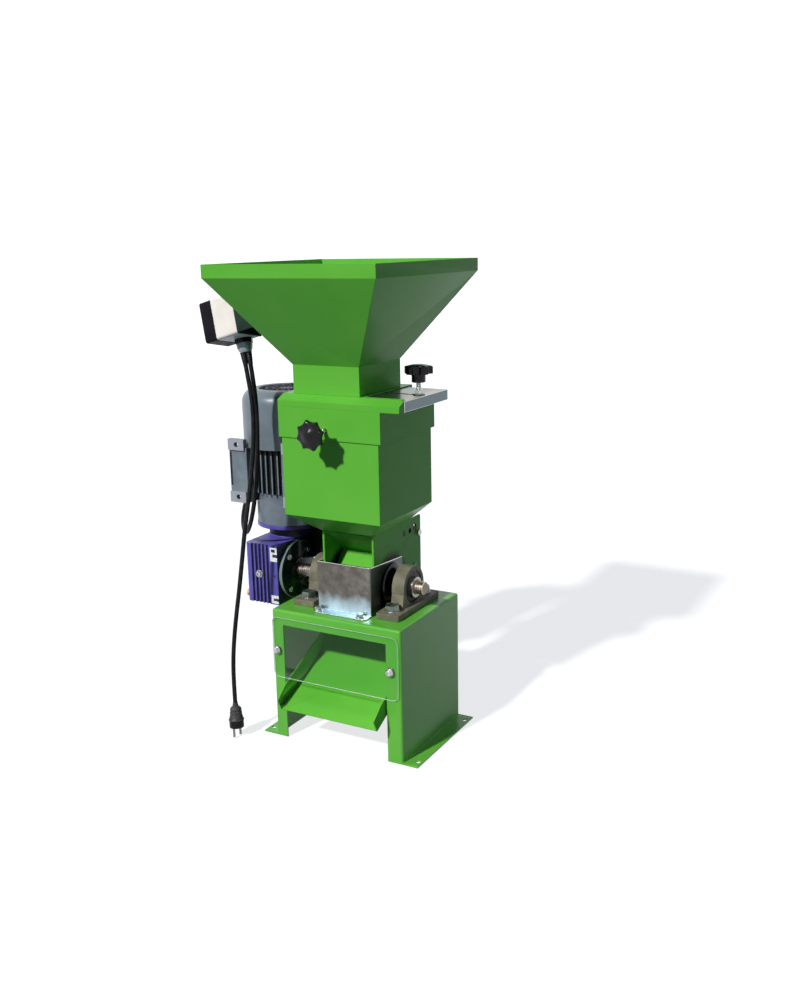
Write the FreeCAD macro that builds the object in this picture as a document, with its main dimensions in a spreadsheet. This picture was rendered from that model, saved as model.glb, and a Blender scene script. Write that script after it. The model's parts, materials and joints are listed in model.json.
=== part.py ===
# Walnut cracking machine.
# Frame: +X right, +Y back, +Z up, millimetres.
# The origin is on the floor, at the centre of the four foot holes.
import FreeCAD, Part
import Sketcher
import math
import os
import re

os.makedirs("parts", exist_ok=True)
doc = FreeCAD.newDocument("WalnutCracker")
sheet = doc.addObject("Spreadsheet::Sheet", "Sizes")
nodes = {}
counter = [0]


def bind(text):
    """Turns the size names in a text into references to the sheet."""
    def prefix(match):
        word = match.group(0)
        return "Sizes." + word if word in sizes else word
    return re.sub(r"[a-z_][a-z0-9_]*", prefix, text)


def fresh(stem):
    counter[0] += 1
    return f"{stem}_{counter[0]}"


def place(obj, x, y, z):
    for key, text in (("x", x), ("y", y), ("z", z)):
        if text != "0":
            obj.setExpression(f"Placement.Base.{key}", bind(text))
    return obj


TURNS = {
    "+z": FreeCAD.Rotation(),
    "-z": FreeCAD.Rotation(FreeCAD.Vector(1, 0, 0), 180),
    "-y": FreeCAD.Rotation(FreeCAD.Vector(1, 0, 0), 90),
    "+y": FreeCAD.Rotation(FreeCAD.Vector(1, 0, 0), -90),
    "+x": FreeCAD.Rotation(FreeCAD.Vector(0, 1, 0), 90),
    "-x": FreeCAD.Rotation(FreeCAD.Vector(0, 1, 0), -90),
}
OPPOSITE = {"+z": "-z", "-z": "+z", "+y": "-y", "-y": "+y", "+x": "-x", "-x": "+x"}


def box(x0, x1, y0, y1, z0, z1):
    obj = doc.addObject("Part::Box", fresh("block"))
    obj.setExpression("Length", bind(f"({x1}) - ({x0})"))
    obj.setExpression("Width", bind(f"({y1}) - ({y0})"))
    obj.setExpression("Height", bind(f"({z1}) - ({z0})"))
    return place(obj, x0, y0, z0)


def rod(way, radius, length, x, y, z):
    obj = doc.addObject("Part::Cylinder", fresh("rod"))
    obj.setExpression("Radius", bind(radius))
    obj.setExpression("Height", bind(length))
    obj.Placement.Rotation = TURNS[way]
    return place(obj, x, y, z)


def cone(way, radius1, radius2, length, x, y, z):
    obj = doc.addObject("Part::Cone", fresh("cone"))
    obj.setExpression("Radius1", bind(radius1))
    obj.setExpression("Radius2", bind(radius2))
    obj.setExpression("Height", bind(length))
    obj.Placement.Rotation = TURNS[way]
    return place(obj, x, y, z)


def hexagon(way, radius, length, x, y, z):
    obj = doc.addObject("Part::Prism", fresh("hex"))
    obj.Polygon = 6
    obj.setExpression("Circumradius", bind(radius))
    obj.setExpression("Height", bind(length))
    obj.Placement.Rotation = TURNS[way]
    return place(obj, x, y, z)


def funnel(z0, low, z1, high):
    """A solid with a low and a high rectangle (x0, x1, y0, y1)."""
    obj = doc.addObject("Part::Wedge", fresh("funnel"))
    obj.Placement.Rotation = FreeCAD.Rotation(FreeCAD.Vector(1, 0, 0), 90)
    texts = {
        "Xmin": low[0], "Xmax": low[1], "Zmin": f"-({low[3]})", "Zmax": f"-({low[2]})",
        "X2min": high[0], "X2max": high[1], "Z2min": f"-({high[3]})", "Z2max": f"-({high[2]})",
        "Ymin": z0, "Ymax": z1,
    }
    for key, text in texts.items():
        obj.setExpression(key, bind(text))
    return obj


def fuse(*parts):
    obj = doc.addObject("Part::MultiFuse", fresh("fused"))
    obj.Shapes = list(parts)
    obj.Refine = True
    return obj


def cut(base, *tools):
    for tool in tools:
        obj = doc.addObject("Part::Cut", fresh("cut"))
        obj.Base = base
        obj.Tool = tool
        base = obj
    return base


def common(base, tool):
    obj = doc.addObject("Part::MultiCommon", fresh("common"))
    obj.Shapes = [base, tool]
    return obj


def gather(parts):
    obj = doc.addObject("Part::Compound", fresh("group"))
    obj.Links = list(parts)
    return obj


def node(label, obj):
    obj.Label = label
    nodes[label] = obj
    return obj


def body(label):
    obj = doc.addObject("PartDesign::Body", fresh("body"))
    obj.Label = label
    return obj


def role(owner, word):
    return [f for f in owner.Origin.OriginFeatures if f.Role == word][0]


def tie(sk, kind, ends, text):
    index = sk.addConstraint(Sketcher.Constraint(kind, *ends, 1.0))
    label = f"c{index}"
    sk.renameConstraint(index, label)
    sk.setExpression(f"Constraints.{label}", bind(text))


def sketch(owner, plane, offset, loops):
    """Loops are lists of (u, v) texts, or (u, v, radius) for a circle."""
    sk = owner.newObject("Sketcher::SketchObject", fresh("sketch"))
    sk.AttachmentSupport = [(role(owner, f"{plane}_Plane"), "")]
    sk.MapMode = "FlatFace"
    if offset != "0":
        sk.setExpression("AttachmentOffset.Base.z", bind(offset))
    origin = FreeCAD.Vector(0, 0, 0)
    up = FreeCAD.Vector(0, 0, 1)
    for loop in loops:
        first = sk.GeometryCount
        if isinstance(loop, tuple):
            sk.addGeometry(Part.Circle(origin, up, 1.0), False)
            tie(sk, "DistanceX", (-1, 1, first, 3), loop[0])
            tie(sk, "DistanceY", (-1, 1, first, 3), loop[1])
            tie(sk, "Radius", (first,), loop[2])
            continue
        count = len(loop)
        for i in range(count):
            a = 2 * math.pi * i / count
            b = 2 * math.pi * (i + 1) / count
            start = FreeCAD.Vector(math.cos(a), math.sin(a), 0)
            end = FreeCAD.Vector(math.cos(b), math.sin(b), 0)
            sk.addGeometry(Part.LineSegment(start, end), False)
        for i in range(count):
            after = first + (i + 1) % count
            sk.addConstraint(Sketcher.Constraint("Coincident", first + i, 2, after, 1))
        for i, (u, v) in enumerate(loop):
            tie(sk, "DistanceX", (-1, 1, first + i, 1), u)
            tie(sk, "DistanceY", (-1, 1, first + i, 1), v)
    return sk


def rect(u0, u1, v0, v1):
    return [(u0, v0), (u1, v0), (u1, v1), (u0, v1)]


def feature(owner, kind, sk, length, both):
    obj = owner.newObject(f"PartDesign::{kind}", fresh(kind.lower()))
    obj.Profile = sk
    if length is None:
        obj.Type = "ThroughAll"
    else:
        obj.setExpression("Length", bind(length))
    if both:
        obj.Midplane = True
    owner.Tip = obj
    doc.recompute()
    return obj


def pad(owner, sk, length, both=False, back=False):
    obj = feature(owner, "Pad", sk, length, both)
    if back:
        obj.Reversed = True
        doc.recompute()
    return obj


def pocket(owner, sk, length=None, both=False):
    """A pocket that has to take material away, else it is turned round."""
    before = owner.Shape.Volume
    obj = feature(owner, "Pocket", sk, length, both)
    if not both and owner.Shape.Volume > before * 0.9999999:
        obj.Reversed = True
        doc.recompute()
    if owner.Shape.Volume >= before:
        print("pocket without effect:", owner.Label, obj.Name)
    return obj


def spin(owner, points):
    """Turns a (radius, height) outline about the Z axis."""
    sk = sketch(owner, "XZ", "0", [points])
    obj = owner.newObject("PartDesign::Revolution", fresh("revolution"))
    obj.Profile = sk
    obj.ReferenceAxis = (sk, ["V_Axis"])
    obj.Angle = 360
    owner.Tip = obj
    doc.recompute()
    return obj


def polar(owner, source, axis, count):
    obj = owner.newObject("PartDesign::PolarPattern", fresh("polar"))
    obj.Originals = [source]
    obj.Axis = (role(owner, f"{axis}_Axis"), [""])
    obj.Angle = 360
    obj.setExpression("Occurrences", bind(count))
    owner.Tip = obj
    doc.recompute()
    return obj


def soften(owner, pick, radius):
    """Rounds the edges that the test picks out of the body's shape."""
    last = owner.Tip
    found = []
    for index, edge in enumerate(last.Shape.Edges):
        if pick(edge):
            found.append(f"Edge{index + 1}")
    obj = owner.newObject("PartDesign::Fillet", fresh("fillet"))
    obj.Base = (last, found)
    obj.setExpression("Radius", bind(radius))
    owner.Tip = obj
    doc.recompute()
    return obj


def along(edge, axis):
    """True for a straight edge that runs along one axis."""
    if len(edge.Vertexes) < 2:
        return False
    step = edge.Vertexes[1].Point - edge.Vertexes[0].Point
    parts = [abs(step.x), abs(step.y), abs(step.z)]
    return parts["xyz".index(axis)] > 0.999 * step.Length


def strip(owner, plane, points, thick, width):
    """A bent sheet: the given line and its mitred copy to the left of it."""
    unit = []
    for (u0, v0), (u1, v1) in zip(points, points[1:]):
        du = f"(({u1}) - ({u0}))"
        dv = f"(({v1}) - ({v0}))"
        length = f"sqrt({du}*{du} + {dv}*{dv})"
        unit.append((f"(-{dv}/{length})", f"({du}/{length})"))
    far = []
    last = len(points) - 1
    for i, (u, v) in enumerate(points):
        n1 = unit[max(i - 1, 0)]
        n2 = unit[min(i, last - 1)]
        if i in (0, last):
            far.append((f"{u} + {thick}*{n2[0]}", f"{v} + {thick}*{n2[1]}"))
            continue
        scale = f"{thick}/(1 + {n1[0]}*{n2[0]} + {n1[1]}*{n2[1]})"
        far.append((f"{u} + ({n1[0]} + {n2[0]})*{scale}", f"{v} + ({n1[1]} + {n2[1]})*{scale}"))
    sk = sketch(owner, plane, "0", [list(points) + far[::-1]])
    return pad(owner, sk, width, both=True)


# Every driving size, in millimetres, except where a name says count or share.
sizes = {
    # base box and chute
    "base_half_width": 140,
    "base_half_depth": 119,
    "base_height": 261,
    "base_sheet": 3,
    "bend_radius": 5,
    "foot_hole_y": 99,
    "foot_hole_r": 4.5,
    "front_leg_left": 25,
    "front_leg_right": 31,
    "header_depth": 30,
    "drum_slot_half_width": 48,
    "drum_slot_front": -38,
    "drum_slot_back": 60,
    "block_bolt_x": 92,
    "block_bolt_y": 60.5,
    "block_bolt_r": 7,
    "hole_play": 0.3,
    "guard_screw_left": -52,
    "guard_screw_right": 40,
    "guard_screw_y": -91,
    "guard_screw_r": 4,
    "shield_screw_r": 3,
    "chute_screw_x": 40,
    "chute_screw_y": 73,
    "bracket_screw_y": 38,
    "bracket_screw_gap": 26,
    "small_screw_r": 3,
    "chute_sheet": 2,
    "chute_fold_y": -8,
    "chute_ramp_y": 52.3,
    "chute_tab_low_y": 40,
    "chute_tab_y": 62,
    "chute_tab_end": 84,
    "chute_tab_half_width": 56,
    "chute_side_corner_y": -6.7,
    "chute_side_top_y": 30,
    "chute_rod_r": 5,
    "chute_rod_y": -60,
    # shield, guard, cheeks, spout
    "shield_thick": 3,
    "shield_gap": 2,
    "shield_corner": 12,
    "spacer_r": 8,
    "guard_half_width": 58,
    "guard_sheet": 2,
    "guard_front": -81,
    "guard_back": 41,
    "guard_lip_front": -102,
    "guard_cut_y": -8,
    "guard_cut_r": 38,
    "cheek_outer": 55.5,
    "cheek_sheet": 4,
    "cheek_front": -62,
    "cheek_back": 122,
    "cheek_shaft_hole": 21,
    "jaw_pivot_y": 55,
    "jaw_pin_r": 4,
    "jaw_spare_y": 78,
    "jaw_slot_y": 99,
    "jaw_slot_travel": 4.6,
    "stop_y": 111,
    "spout_ridge_y": 1.6,
    "spout_tip_y": -20,
    "spout_sheet": 2,
    # feed box, sleeve, gate, hopper
    "feed_left": -95,
    "feed_right": 106,
    "feed_front": -123,
    "feed_back": 75,
    "feed_sheet": 2,
    "slope_inset": 3.5,
    "sleeve_left": -99.5,
    "sleeve_right": 112,
    "sleeve_front": -125.5,
    "sleeve_back": 78,
    "way_left": -72,
    "way_right": 55,
    "way_front": -98,
    "way_back": 36,
    "floor_sheet": 3,
    "rail_front_inner": -106.5,
    "rail_back_inner": 58.5,
    "rail_ledge": 11,
    "rail_lip": 11,
    "rail_end": 150,
    "rear_rail_end": 66,
    "ledge_end": 144,
    "gate_left": -76,
    "gate_sheet": 2.5,
    "gate_side_play": 0.5,
    "gate_lip_depth": 19,
    "knob_x": 134,
    "knob_y": -24,
    "gate_travel": 108,
    "crossbar_half": 9,
    "stud_r": 4,
    "stud_play": 0.4,
    "gate_washer_r": 9,
    "gate_washer_thick": 1.6,
    "gate_nut_r": 7.5,
    "gate_nut_high": 6.5,
    "star_hub_r": 12.5,
    "star_lobe_thick": 13,
    "star_r": 25.5,
    "star_dome_r": 15,
    "star_dome_rise": 4,
    "star_bite_r": 9,
    "star_bite_at": 28,
    "star_lobes": 5,
    "neck_left": -77,
    "neck_right": 61,
    "neck_front": -105.5,
    "neck_back": 42,
    "rim_left": -174,
    "rim_right": 169,
    "rim_front": -226,
    "rim_back": 149,
    "hopper_sheet": 2,
    "hopper_inset": 3,
    # front knob
    "front_knob_r": 25,
    "front_knob_root": -158,
    "front_knob_hub_r": 12,
    "front_knob_hub": 6,
    "front_knob_thick": 12,
    "front_knob_dome": 4,
    "front_knob_bites": 9,
    "front_knob_bite_r": 5,
    "front_knob_bite_at": 27.5,
    "weld_nut_r": 9,
    "weld_nut_thick": 8,
    # bearings and shaft
    "block_half_length": 82.5,
    "block_half_foot": 24,
    "block_foot_high": 12,
    "block_body_half": 13,
    "block_dome_r": 40,
    "block_web_low": 46,
    "block_web_high": 38,
    "block_slot_half": 11,
    "ring_outer_r": 31,
    "ring_outer_in": 27,
    "ring_outer_half": 10,
    "ring_inner_out": 19.5,
    "shaft_r": 15,
    "ring_inner_half": 19,
    "ball_r": 3.7,
    "ball_ring_r": 23.25,
    "ball_count": 9,
    "nipple_r": 3,
    "nipple_long": 9,
    "nipple_root": 38,
    "nipple_tilt": 39,
    "washer_r": 14,
    "washer_thick": 2.5,
    "bolt_head_r": 12.5,
    "bolt_head_high": 8.8,
    "bolt_nut_high": 11,
    "shaft_step_left": -114,
    "shaft_step_right": 112,
    "shaft_thin_r": 12.5,
    "shaft_end_right": 129,
    "shaft_chamfer": 1.5,
    "drum_r": 33.5,
    "drum_half": 49,
    "drum_groove_depth": 2.5,
    "drum_groove_half": 2.2,
    "drum_grooves": 24,
    "key_half": 4,
    "key_low": 10.5,
    "key_high": 18,
    "key_half_long": 40,
    # jaw
    "jaw_half": 50,
    "jaw_face_top_y": 44,
    "jaw_face_y": 43.5,
    "jaw_face_low_y": 41,
    "jaw_low_back": 56,
    "jaw_back_y": 62,
    "jaw_head_front": 45,
    "jaw_arm_half": 7,
    "jaw_arm_end": 105,
    # gearbox
    "motor_y": 50,
    "gear_front": -60,
    "gear_corner": 10,
    "worm_case_r": 34,
    "wheel_cave_r": 40,
    "worm_cave_r": 13.5,
    "gear_fin_depth": 3,
    "gear_fin_gap": 9,
    "gear_fin_width": 5,
    "gear_fin_count": 5,
    "gear_neck_r": 46,
    "gear_flange_r": 69,
    "cover_r": 46,
    "cover_thick": 6,
    "flange_disc_r": 57.5,
    "flange_disc_thick": 7,
    "flange_bolt_ring": 46.5,
    "flange_bolts": 4,
    "hollow_r": 17.5,
    "turning_play": 0.05,
    "wheel_r": 37,
    "wheel_half": 13,
    "wheel_teeth": 20,
    "tooth_cut_r": 2,
    "worm_r": 12.2,
    "worm_shaft_r": 9.5,
    "plug_r": 6,
    "plug_high": 3.5,
    # motor
    "bell_r": 68,
    "bell_inner_r": 60,
    "bell_floor": 8,
    "case_r": 73,
    "case_inner_r": 64,
    "fin_r": 80,
    "fin_half": 1.4,
    "fin_count": 40,
    "feet_plane": -40,
    "foot_pad_step": 4,
    "foot_plate": 7,
    "foot_inner": 44.5,
    "foot_outer": 82.5,
    "foot_pad_high": 22,
    "foot_web_back": 10,
    "foot_bore_x": 62.5,
    "foot_bore_r": 5,
    "cover_fan_r": 88,
    "cover_fan_sheet": 2,
    "cover_shoulder": 26,
    "grille_slot_half": 2.2,
    "grille_in": 20,
    "grille_out": 52,
    "grille_count": 24,
    "stator_in": 38,
    "rotor_r": 37.4,
    "fan_hub_r": 18,
    "fan_hub_high": 26,
    "fan_r": 72,
    "fan_plate": 3,
    "fan_blade_half": 1.3,
    "fan_blade_high": 24,
    "fan_blades": 7,
    "term_left": 36,
    "term_front": 132,
    "term_back": 170,
    "term_lid": 5,
    "term_gland_y": 151,
    "gland_r": 10,
    "gland_dome_r": 8,
    "gland_nut": 7,
    "gland_dome": 13,
    "bracket_plate": 6,
    "bracket_front": 8,
    "bracket_back": 66,
    # switch box
    "switch_x": -234.6,
    "switch_y": -90.5,
    "switch_tilt_y": 16.5,
    "switch_tilt_x": 10,
    "switch_half_width": 35,
    "switch_half_high": 38,
    "switch_body_deep": 48,
    "switch_cover_deep": 26,
    "switch_wall": 3,
    "switch_corner": 5,
    "holder_sheet": 3,
    "holder_reach": 150,
    "holder_low": -36,
    "holder_high": 24,
    "button_r": 9,
    "button_play": 0.4,
    "button_z": 16,
    "button_out": 4,
    "button_in": 10,
    "gland_x": 24,
    "gland_y": 14,
    "twin_nut_r": 18,
    "twin_nut": 9,
    "twin_dome_r": 15,
    "twin_dome": 17,
    "cord_r": 4.2,
    # leads and plug
    "lead_unit": 1,
    "arc_share": 0.45,
    "plug_long": 50.5,
    "plug_body_r": 17,
    "plug_neck_r": 8,
    "plug_pin_r": 2.4,
    "plug_pin_gap": 9.5,
    "plug_pin_long": 17,
}

# Heights above the top of the base box; a minus sign is below it.
rises = {
    "shield_screw_z": -80.5,
    "bracket_screw_z": -49,
    "chute_lip_z": -188,
    "chute_fold_z": -121,
    "chute_ramp_z": -21,
    "chute_tab_low_z": -41.4,
    "chute_side_tip_z": -165,
    "chute_side_shoulder_z": -142,
    "chute_side_corner_z": -82.4,
    "shield_low": -136,
    "shield_high": -14,
    "guard_top_front": 95,
    "guard_top_back": 86,
    "guard_cut_z": 41,
    "cheek_top": 150,
    "axis_z": 43,
    "jaw_pivot_z": 127,
    "stop_z": 116,
    "spout_ridge_z": 99,
    "spout_tip_z": 74,
    "feed_low": 191,
    "feed_high": 390,
    "sleeve_low": 336,
    "sleeve_high": 392,
    "rail_bar_top": 408,
    "rail_lip_low": 411.1,
    "rail_lip_top": 413.1,
    "rail_slope_low": 403.5,
    "gate_low": 408.3,
    "gate_washer_z": 411.3,
    "star_hub_z": 433,
    "star_lobe_z": 448,
    "neck_top": 465,
    "rim_low": 620,
    "rim_high": 643,
    "front_knob_z": 353,
    "jaw_face_top_z": 111,
    "jaw_low_z": 11,
    "jaw_head_top": 137,
    "gear_low": -17,
    "gear_high": 103,
    "worm_cave_low": -9,
    "gear_flange_low": 123,
    "gear_flange_high": 131,
    "worm_low": 9,
    "worm_high": 77,
    "worm_shaft_low": -7,
    "worm_shaft_top": 91,
    "bell_high": 197,
    "case_high": 287,
    "foot_low": 177,
    "foot_high": 304,
    "cover_fan_high": 399,
    "stator_low": 207,
    "stator_high": 273,
    "shield_disc_low": 279,
    "motor_shaft_top": 375,
    "fan_low": 335,
    "term_low": 205,
    "term_high": 285,
    "term_gland_z": 243,
    "bracket_low": -65,
    "switch_z": 536,
}

# Steps to the right of the base box's left side; a minus sign is outside it.
left_steps = {
    "shield_screw_left": 12,
    "shield_left": 3,
    "shaft_end_left": -108,
    "motor_x": -62.5,
    "gear_left": -101.5,
    "gear_right": -23.5,
    "gear_fin_left": -86,
    "bracket_out": -82,
    "bracket_bolt_x": -42,
}

# Steps to the right of the base box's right side; a minus sign is inside it.
right_steps = {
    "foot_reach": 31,
    "foot_hole_x": 22,
    "shield_screw_right": -21,
    "chute_half_width": -34,
    "shield_right": -4,
}

# Steps behind the base box's front; a minus sign is in front of it.
front_steps = {
    "chute_lip_y": -31,
    "chute_side_tip_y": -43,
    "chute_side_shoulder_y": -14,
}
cells = {alias: str(value) for alias, value in sizes.items()}
for table, start in ((rises, "base_height"), (left_steps, "-base_half_width"),
                     (right_steps, "base_half_width"), (front_steps, "-base_half_depth")):
    way = -1 if start.startswith("-") else 1
    for alias, step in table.items():
        sizes[alias] = way * sizes[start.lstrip("-")] + step
        cells[alias] = f"={start} + ({step})"
for row, (alias, cell) in enumerate(cells.items(), 1):
    sheet.set(f"A{row}", alias)
    sheet.set(f"B{row}", cell)
    sheet.setAlias(f"B{row}", alias)

doc.recompute()


def hex_screws(way, seats, head_r, head_high, shank_r, shank_long):
    """Screws with a hexagon head on each seat; also the shanks alone."""
    whole = []
    shanks = []
    for x, y, z in seats:
        head = hexagon(way, head_r, head_high, x, y, z)
        shank = rod(OPPOSITE[way], shank_r, shank_long, x, y, z)
        whole.append(fuse(head, shank))
        shanks.append(shank)
    return gather(whole), gather(shanks)


def rings(way, outer, inner, thick, seats):
    made = []
    for x, y, z in seats:
        made.append(cut(rod(way, outer, thick, x, y, z), rod(way, inner, thick, x, y, z)))
    return gather(made)


def nuts(way, outer, inner, thick, seats):
    made = []
    for x, y, z in seats:
        made.append(cut(hexagon(way, outer, thick, x, y, z), rod(way, inner, thick, x, y, z)))
    return gather(made)


# Base frame: one bent sheet box with foot flanges and two portals
base = body("base_frame")
pad(base, sketch(base, "XY", "0", [rect("-base_half_width", "base_half_width",
                                       "-base_half_depth", "base_half_depth")]), "base_height")
high = sizes["base_height"]


def outer_edge(edge):
    if along(edge, "z"):
        return True
    return min(v.Z for v in edge.Vertexes) > high - 0.01


soften(base, outer_edge, "bend_radius")
pocket(base, sketch(base, "XY", "0", [rect(
    "-base_half_width + base_sheet", "base_half_width - base_sheet",
    "-base_half_depth + base_sheet", "base_half_depth - base_sheet")]), "base_height - base_sheet")
window_right = "base_half_width - front_leg_right"
window_left = "-base_half_width + front_leg_left"
pocket(base, sketch(base, "XZ", "base_half_depth", [rect(
    window_left, window_right, "0", "base_height - header_depth")]), "2*base_sheet")
pocket(base, sketch(base, "XZ", "-base_half_depth + 2*base_sheet", [rect(
    window_left, "-(" + window_left + ")", "0", "base_height - header_depth")]), "2*base_sheet")
for low, far in (("-foot_reach", "-base_half_width + base_sheet"),
                 ("base_half_width - base_sheet", "foot_reach")):
    pad(base, sketch(base, "XY", "0", [rect(low, far, "-base_half_depth", "base_half_depth")]),
        "base_sheet")
foot_holes = [(sx + "foot_hole_x", sy + "foot_hole_y", "foot_hole_r")
              for sx in ("", "-") for sy in ("", "-")]
pocket(base, sketch(base, "XY", "base_sheet", foot_holes), "base_sheet")
pocket(base, sketch(base, "XY", "base_height", [rect(
    "-drum_slot_half_width", "drum_slot_half_width", "drum_slot_front", "drum_slot_back")]),
    "base_sheet")
top_holes = [(sx + "block_bolt_x", sy + "block_bolt_y", "block_bolt_r + hole_play")
             for sx in ("", "-") for sy in ("", "-")]
top_holes += [(x, "guard_screw_y", "guard_screw_r + hole_play")
              for x in ("guard_screw_left", "guard_screw_right")]
top_holes += [(sx + "chute_screw_x", "chute_screw_y", "small_screw_r + hole_play")
              for sx in ("", "-")]
pocket(base, sketch(base, "XY", "base_height", top_holes), "base_sheet")
shield_seats = [(x, "shield_screw_z", "shield_screw_r + hole_play")
                for x in ("shield_screw_left", "shield_screw_right")]
pocket(base, sketch(base, "XZ", "base_half_depth", shield_seats), "2*base_sheet")
bracket_seats = [("bracket_screw_y + " + way + "bracket_screw_gap/2", "bracket_screw_z",
                  "small_screw_r + hole_play") for way in ("", "-")]
pocket(base, sketch(base, "YZ", "-base_half_width + base_sheet", bracket_seats), "base_sheet")
node("base_frame", base)

# Discharge chute: bent tray with two side flanges and a fixing tab
chute = body("discharge_chute")
strip(chute, "YZ", [("chute_lip_y", "chute_lip_z"), ("chute_fold_y", "chute_fold_z"),
                    ("chute_ramp_y", "chute_ramp_z")], "chute_sheet", "2*chute_half_width")
tab_top = "base_height - base_sheet - chute_sheet"
strip(chute, "YZ", [("chute_tab_low_y", "chute_tab_low_z"), ("chute_tab_y", tab_top),
                    ("chute_tab_end", tab_top)], "chute_sheet", "2*chute_tab_half_width")
side = [("chute_lip_y", "chute_lip_z"), ("chute_fold_y", "chute_fold_z"),
        ("chute_ramp_y", "chute_ramp_z"), ("chute_side_top_y", "chute_ramp_z"),
        ("chute_side_corner_y", "chute_side_corner_z"),
        ("chute_side_shoulder_y", "chute_side_shoulder_z"),
        ("chute_side_tip_y", "chute_side_tip_z")]
pad(chute, sketch(chute, "YZ", "chute_half_width - chute_sheet", [side]), "chute_sheet")
pad(chute, sketch(chute, "YZ", "-chute_half_width", [side]), "chute_sheet")
pocket(chute, sketch(chute, "XY", "base_height - base_sheet",
                     [(sx + "chute_screw_x", "chute_screw_y", "small_screw_r + hole_play")
                      for sx in ("", "-")]), "2*chute_sheet")
node("discharge_chute", chute)
slope = "((chute_fold_z - chute_lip_z)/(chute_fold_y - chute_lip_y))"
rod_drop = "chute_rod_r*sqrt(1 + " + slope + "*" + slope + ")"
rod_z = "chute_lip_z + (chute_rod_y - chute_lip_y)*" + slope + " - " + rod_drop
node("chute_rod", rod("+x", "chute_rod_r", "2*(base_half_width - base_sheet)",
                      "-base_half_width + base_sheet", "chute_rod_y", rod_z))
chute_seats = [(sx + "chute_screw_x", "chute_screw_y", "base_height") for sx in ("", "-")]
chute_screws, chute_shanks = hex_screws("+z", chute_seats, "2*small_screw_r",
                                        "small_screw_r*4/3", "small_screw_r", "5*small_screw_r")
small_screws = [chute_screws]
small_nuts = [nuts("-z", "2*small_screw_r", "small_screw_r", "small_screw_r*5/3",
                   [(x, y, "base_height - base_sheet - chute_sheet") for x, y, z in chute_seats])]

# Clear front shield on two screws
shield = body("front_shield")
shield_back = "base_half_depth + shield_gap"
pad(shield, sketch(shield, "XZ", shield_back, [rect("shield_left", "shield_right",
                                                   "shield_low", "shield_high")]), "shield_thick")
soften(shield, lambda edge: along(edge, "y"), "shield_corner")
pocket(shield, sketch(shield, "XZ", shield_back + " + shield_thick", shield_seats),
       "2*shield_thick")
node("front_shield", shield)
two = ("shield_screw_left", "shield_screw_right")
washers = [rings("+y", "spacer_r", "shield_screw_r + hole_play", "shield_gap",
                 [(x, "-base_half_depth - shield_gap", "shield_screw_z") for x in two])]
screws = []
front_face = "-base_half_depth - shield_gap - shield_thick"
for x in two:
    washer = rod("-y", "spacer_r", "shield_screw_r/2", x, front_face, "shield_screw_z")
    head = cone("-y", "spacer_r*0.9", "spacer_r*0.6", "shield_screw_r*1.4", x,
                front_face + " - shield_screw_r/2", "shield_screw_z")
    shank = rod("+y", "shield_screw_r", "6*shield_screw_r", x, front_face, "shield_screw_z")
    screws.append(fuse(washer, head, shank))
node("shield_screws", gather(screws))
small_nuts.append(nuts("+y", "2*shield_screw_r", "shield_screw_r", "shield_screw_r*5/3",
                       [(x, "-base_half_depth + base_sheet", "shield_screw_z") for x in two]))

# Cheeks: two upright plates that hold the spout and the jaw
for label, start in (("left_cheek", "-cheek_outer"), ("right_cheek", "cheek_outer - cheek_sheet")):
    cheek = body(label)
    pad(cheek, sketch(cheek, "YZ", start, [rect("cheek_front", "cheek_back",
                                               "base_height", "cheek_top")]), "cheek_sheet")
    tools = [("0", "axis_z", "cheek_shaft_hole"), ("jaw_pivot_y", "jaw_pivot_z", "jaw_pin_r"),
             ("jaw_spare_y", "jaw_pivot_z", "jaw_pin_r"), ("stop_y", "stop_z", "jaw_pin_r")]
    slot_half = "(jaw_pin_r + hole_play)"
    slot = rect("jaw_slot_y - " + slot_half, "jaw_slot_y + " + slot_half,
                "jaw_pivot_z - jaw_slot_travel - " + slot_half,
                "jaw_pivot_z + jaw_slot_travel + " + slot_half)
    pocket(cheek, sketch(cheek, "YZ", start + " + cheek_sheet", tools), "cheek_sheet")
    pocket(cheek, sketch(cheek, "YZ", start + " + cheek_sheet", [slot]), "cheek_sheet")
    node(label, cheek)

# Spout plate: carries on the funnel's front slope and turns under, over the drum
spout = body("spout_plate")
strip(spout, "YZ", [("spout_tip_y", "spout_tip_z"), ("spout_ridge_y", "spout_ridge_z"),
                    ("cheek_front", "cheek_top - spout_sheet")], "-spout_sheet",
      "2*(cheek_outer - cheek_sheet)")
node("spout_plate", spout)

# Zinc guard in front of the drum
guard = body("jaw_guard")
pad(guard, sketch(guard, "YZ", "0", [[
    ("guard_front", "base_height"), ("guard_back", "base_height"),
    ("guard_back", "guard_top_back"), ("guard_front", "guard_top_front")]]),
    "2*guard_half_width", both=True)
soften(guard, lambda e: along(e, "z") and e.Vertexes[0].Y < 0, "guard_sheet*1.5")
pocket(guard, sketch(guard, "YZ", "0", [rect(
    "guard_front + guard_sheet", "guard_back + guard_sheet", "base_height - guard_sheet",
    "guard_top_front + guard_sheet")]), "2*(guard_half_width - guard_sheet)", both=True)
pocket(guard, sketch(guard, "YZ", "0", [("guard_cut_y", "guard_cut_z", "guard_cut_r")]),
       "4*guard_half_width", both=True)
pocket(guard, sketch(guard, "YZ", "0", [rect(
    "guard_cut_y - guard_cut_r", "guard_cut_y + guard_cut_r", "base_height - guard_sheet",
    "guard_cut_z")]), "4*guard_half_width", both=True)
pad(guard, sketch(guard, "XY", "base_height", [rect(
    "-guard_half_width", "guard_half_width", "guard_lip_front", "guard_front + guard_sheet")]),
    "guard_sheet")
soften(guard, lambda e: along(e, "z") and e.Vertexes[0].Y < sizes["guard_front"] - 15,
       "guard_sheet*5")
guard_holes = [(x, "guard_screw_y", "guard_screw_r + hole_play")
               for x in ("guard_screw_left", "guard_screw_right")]
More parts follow.
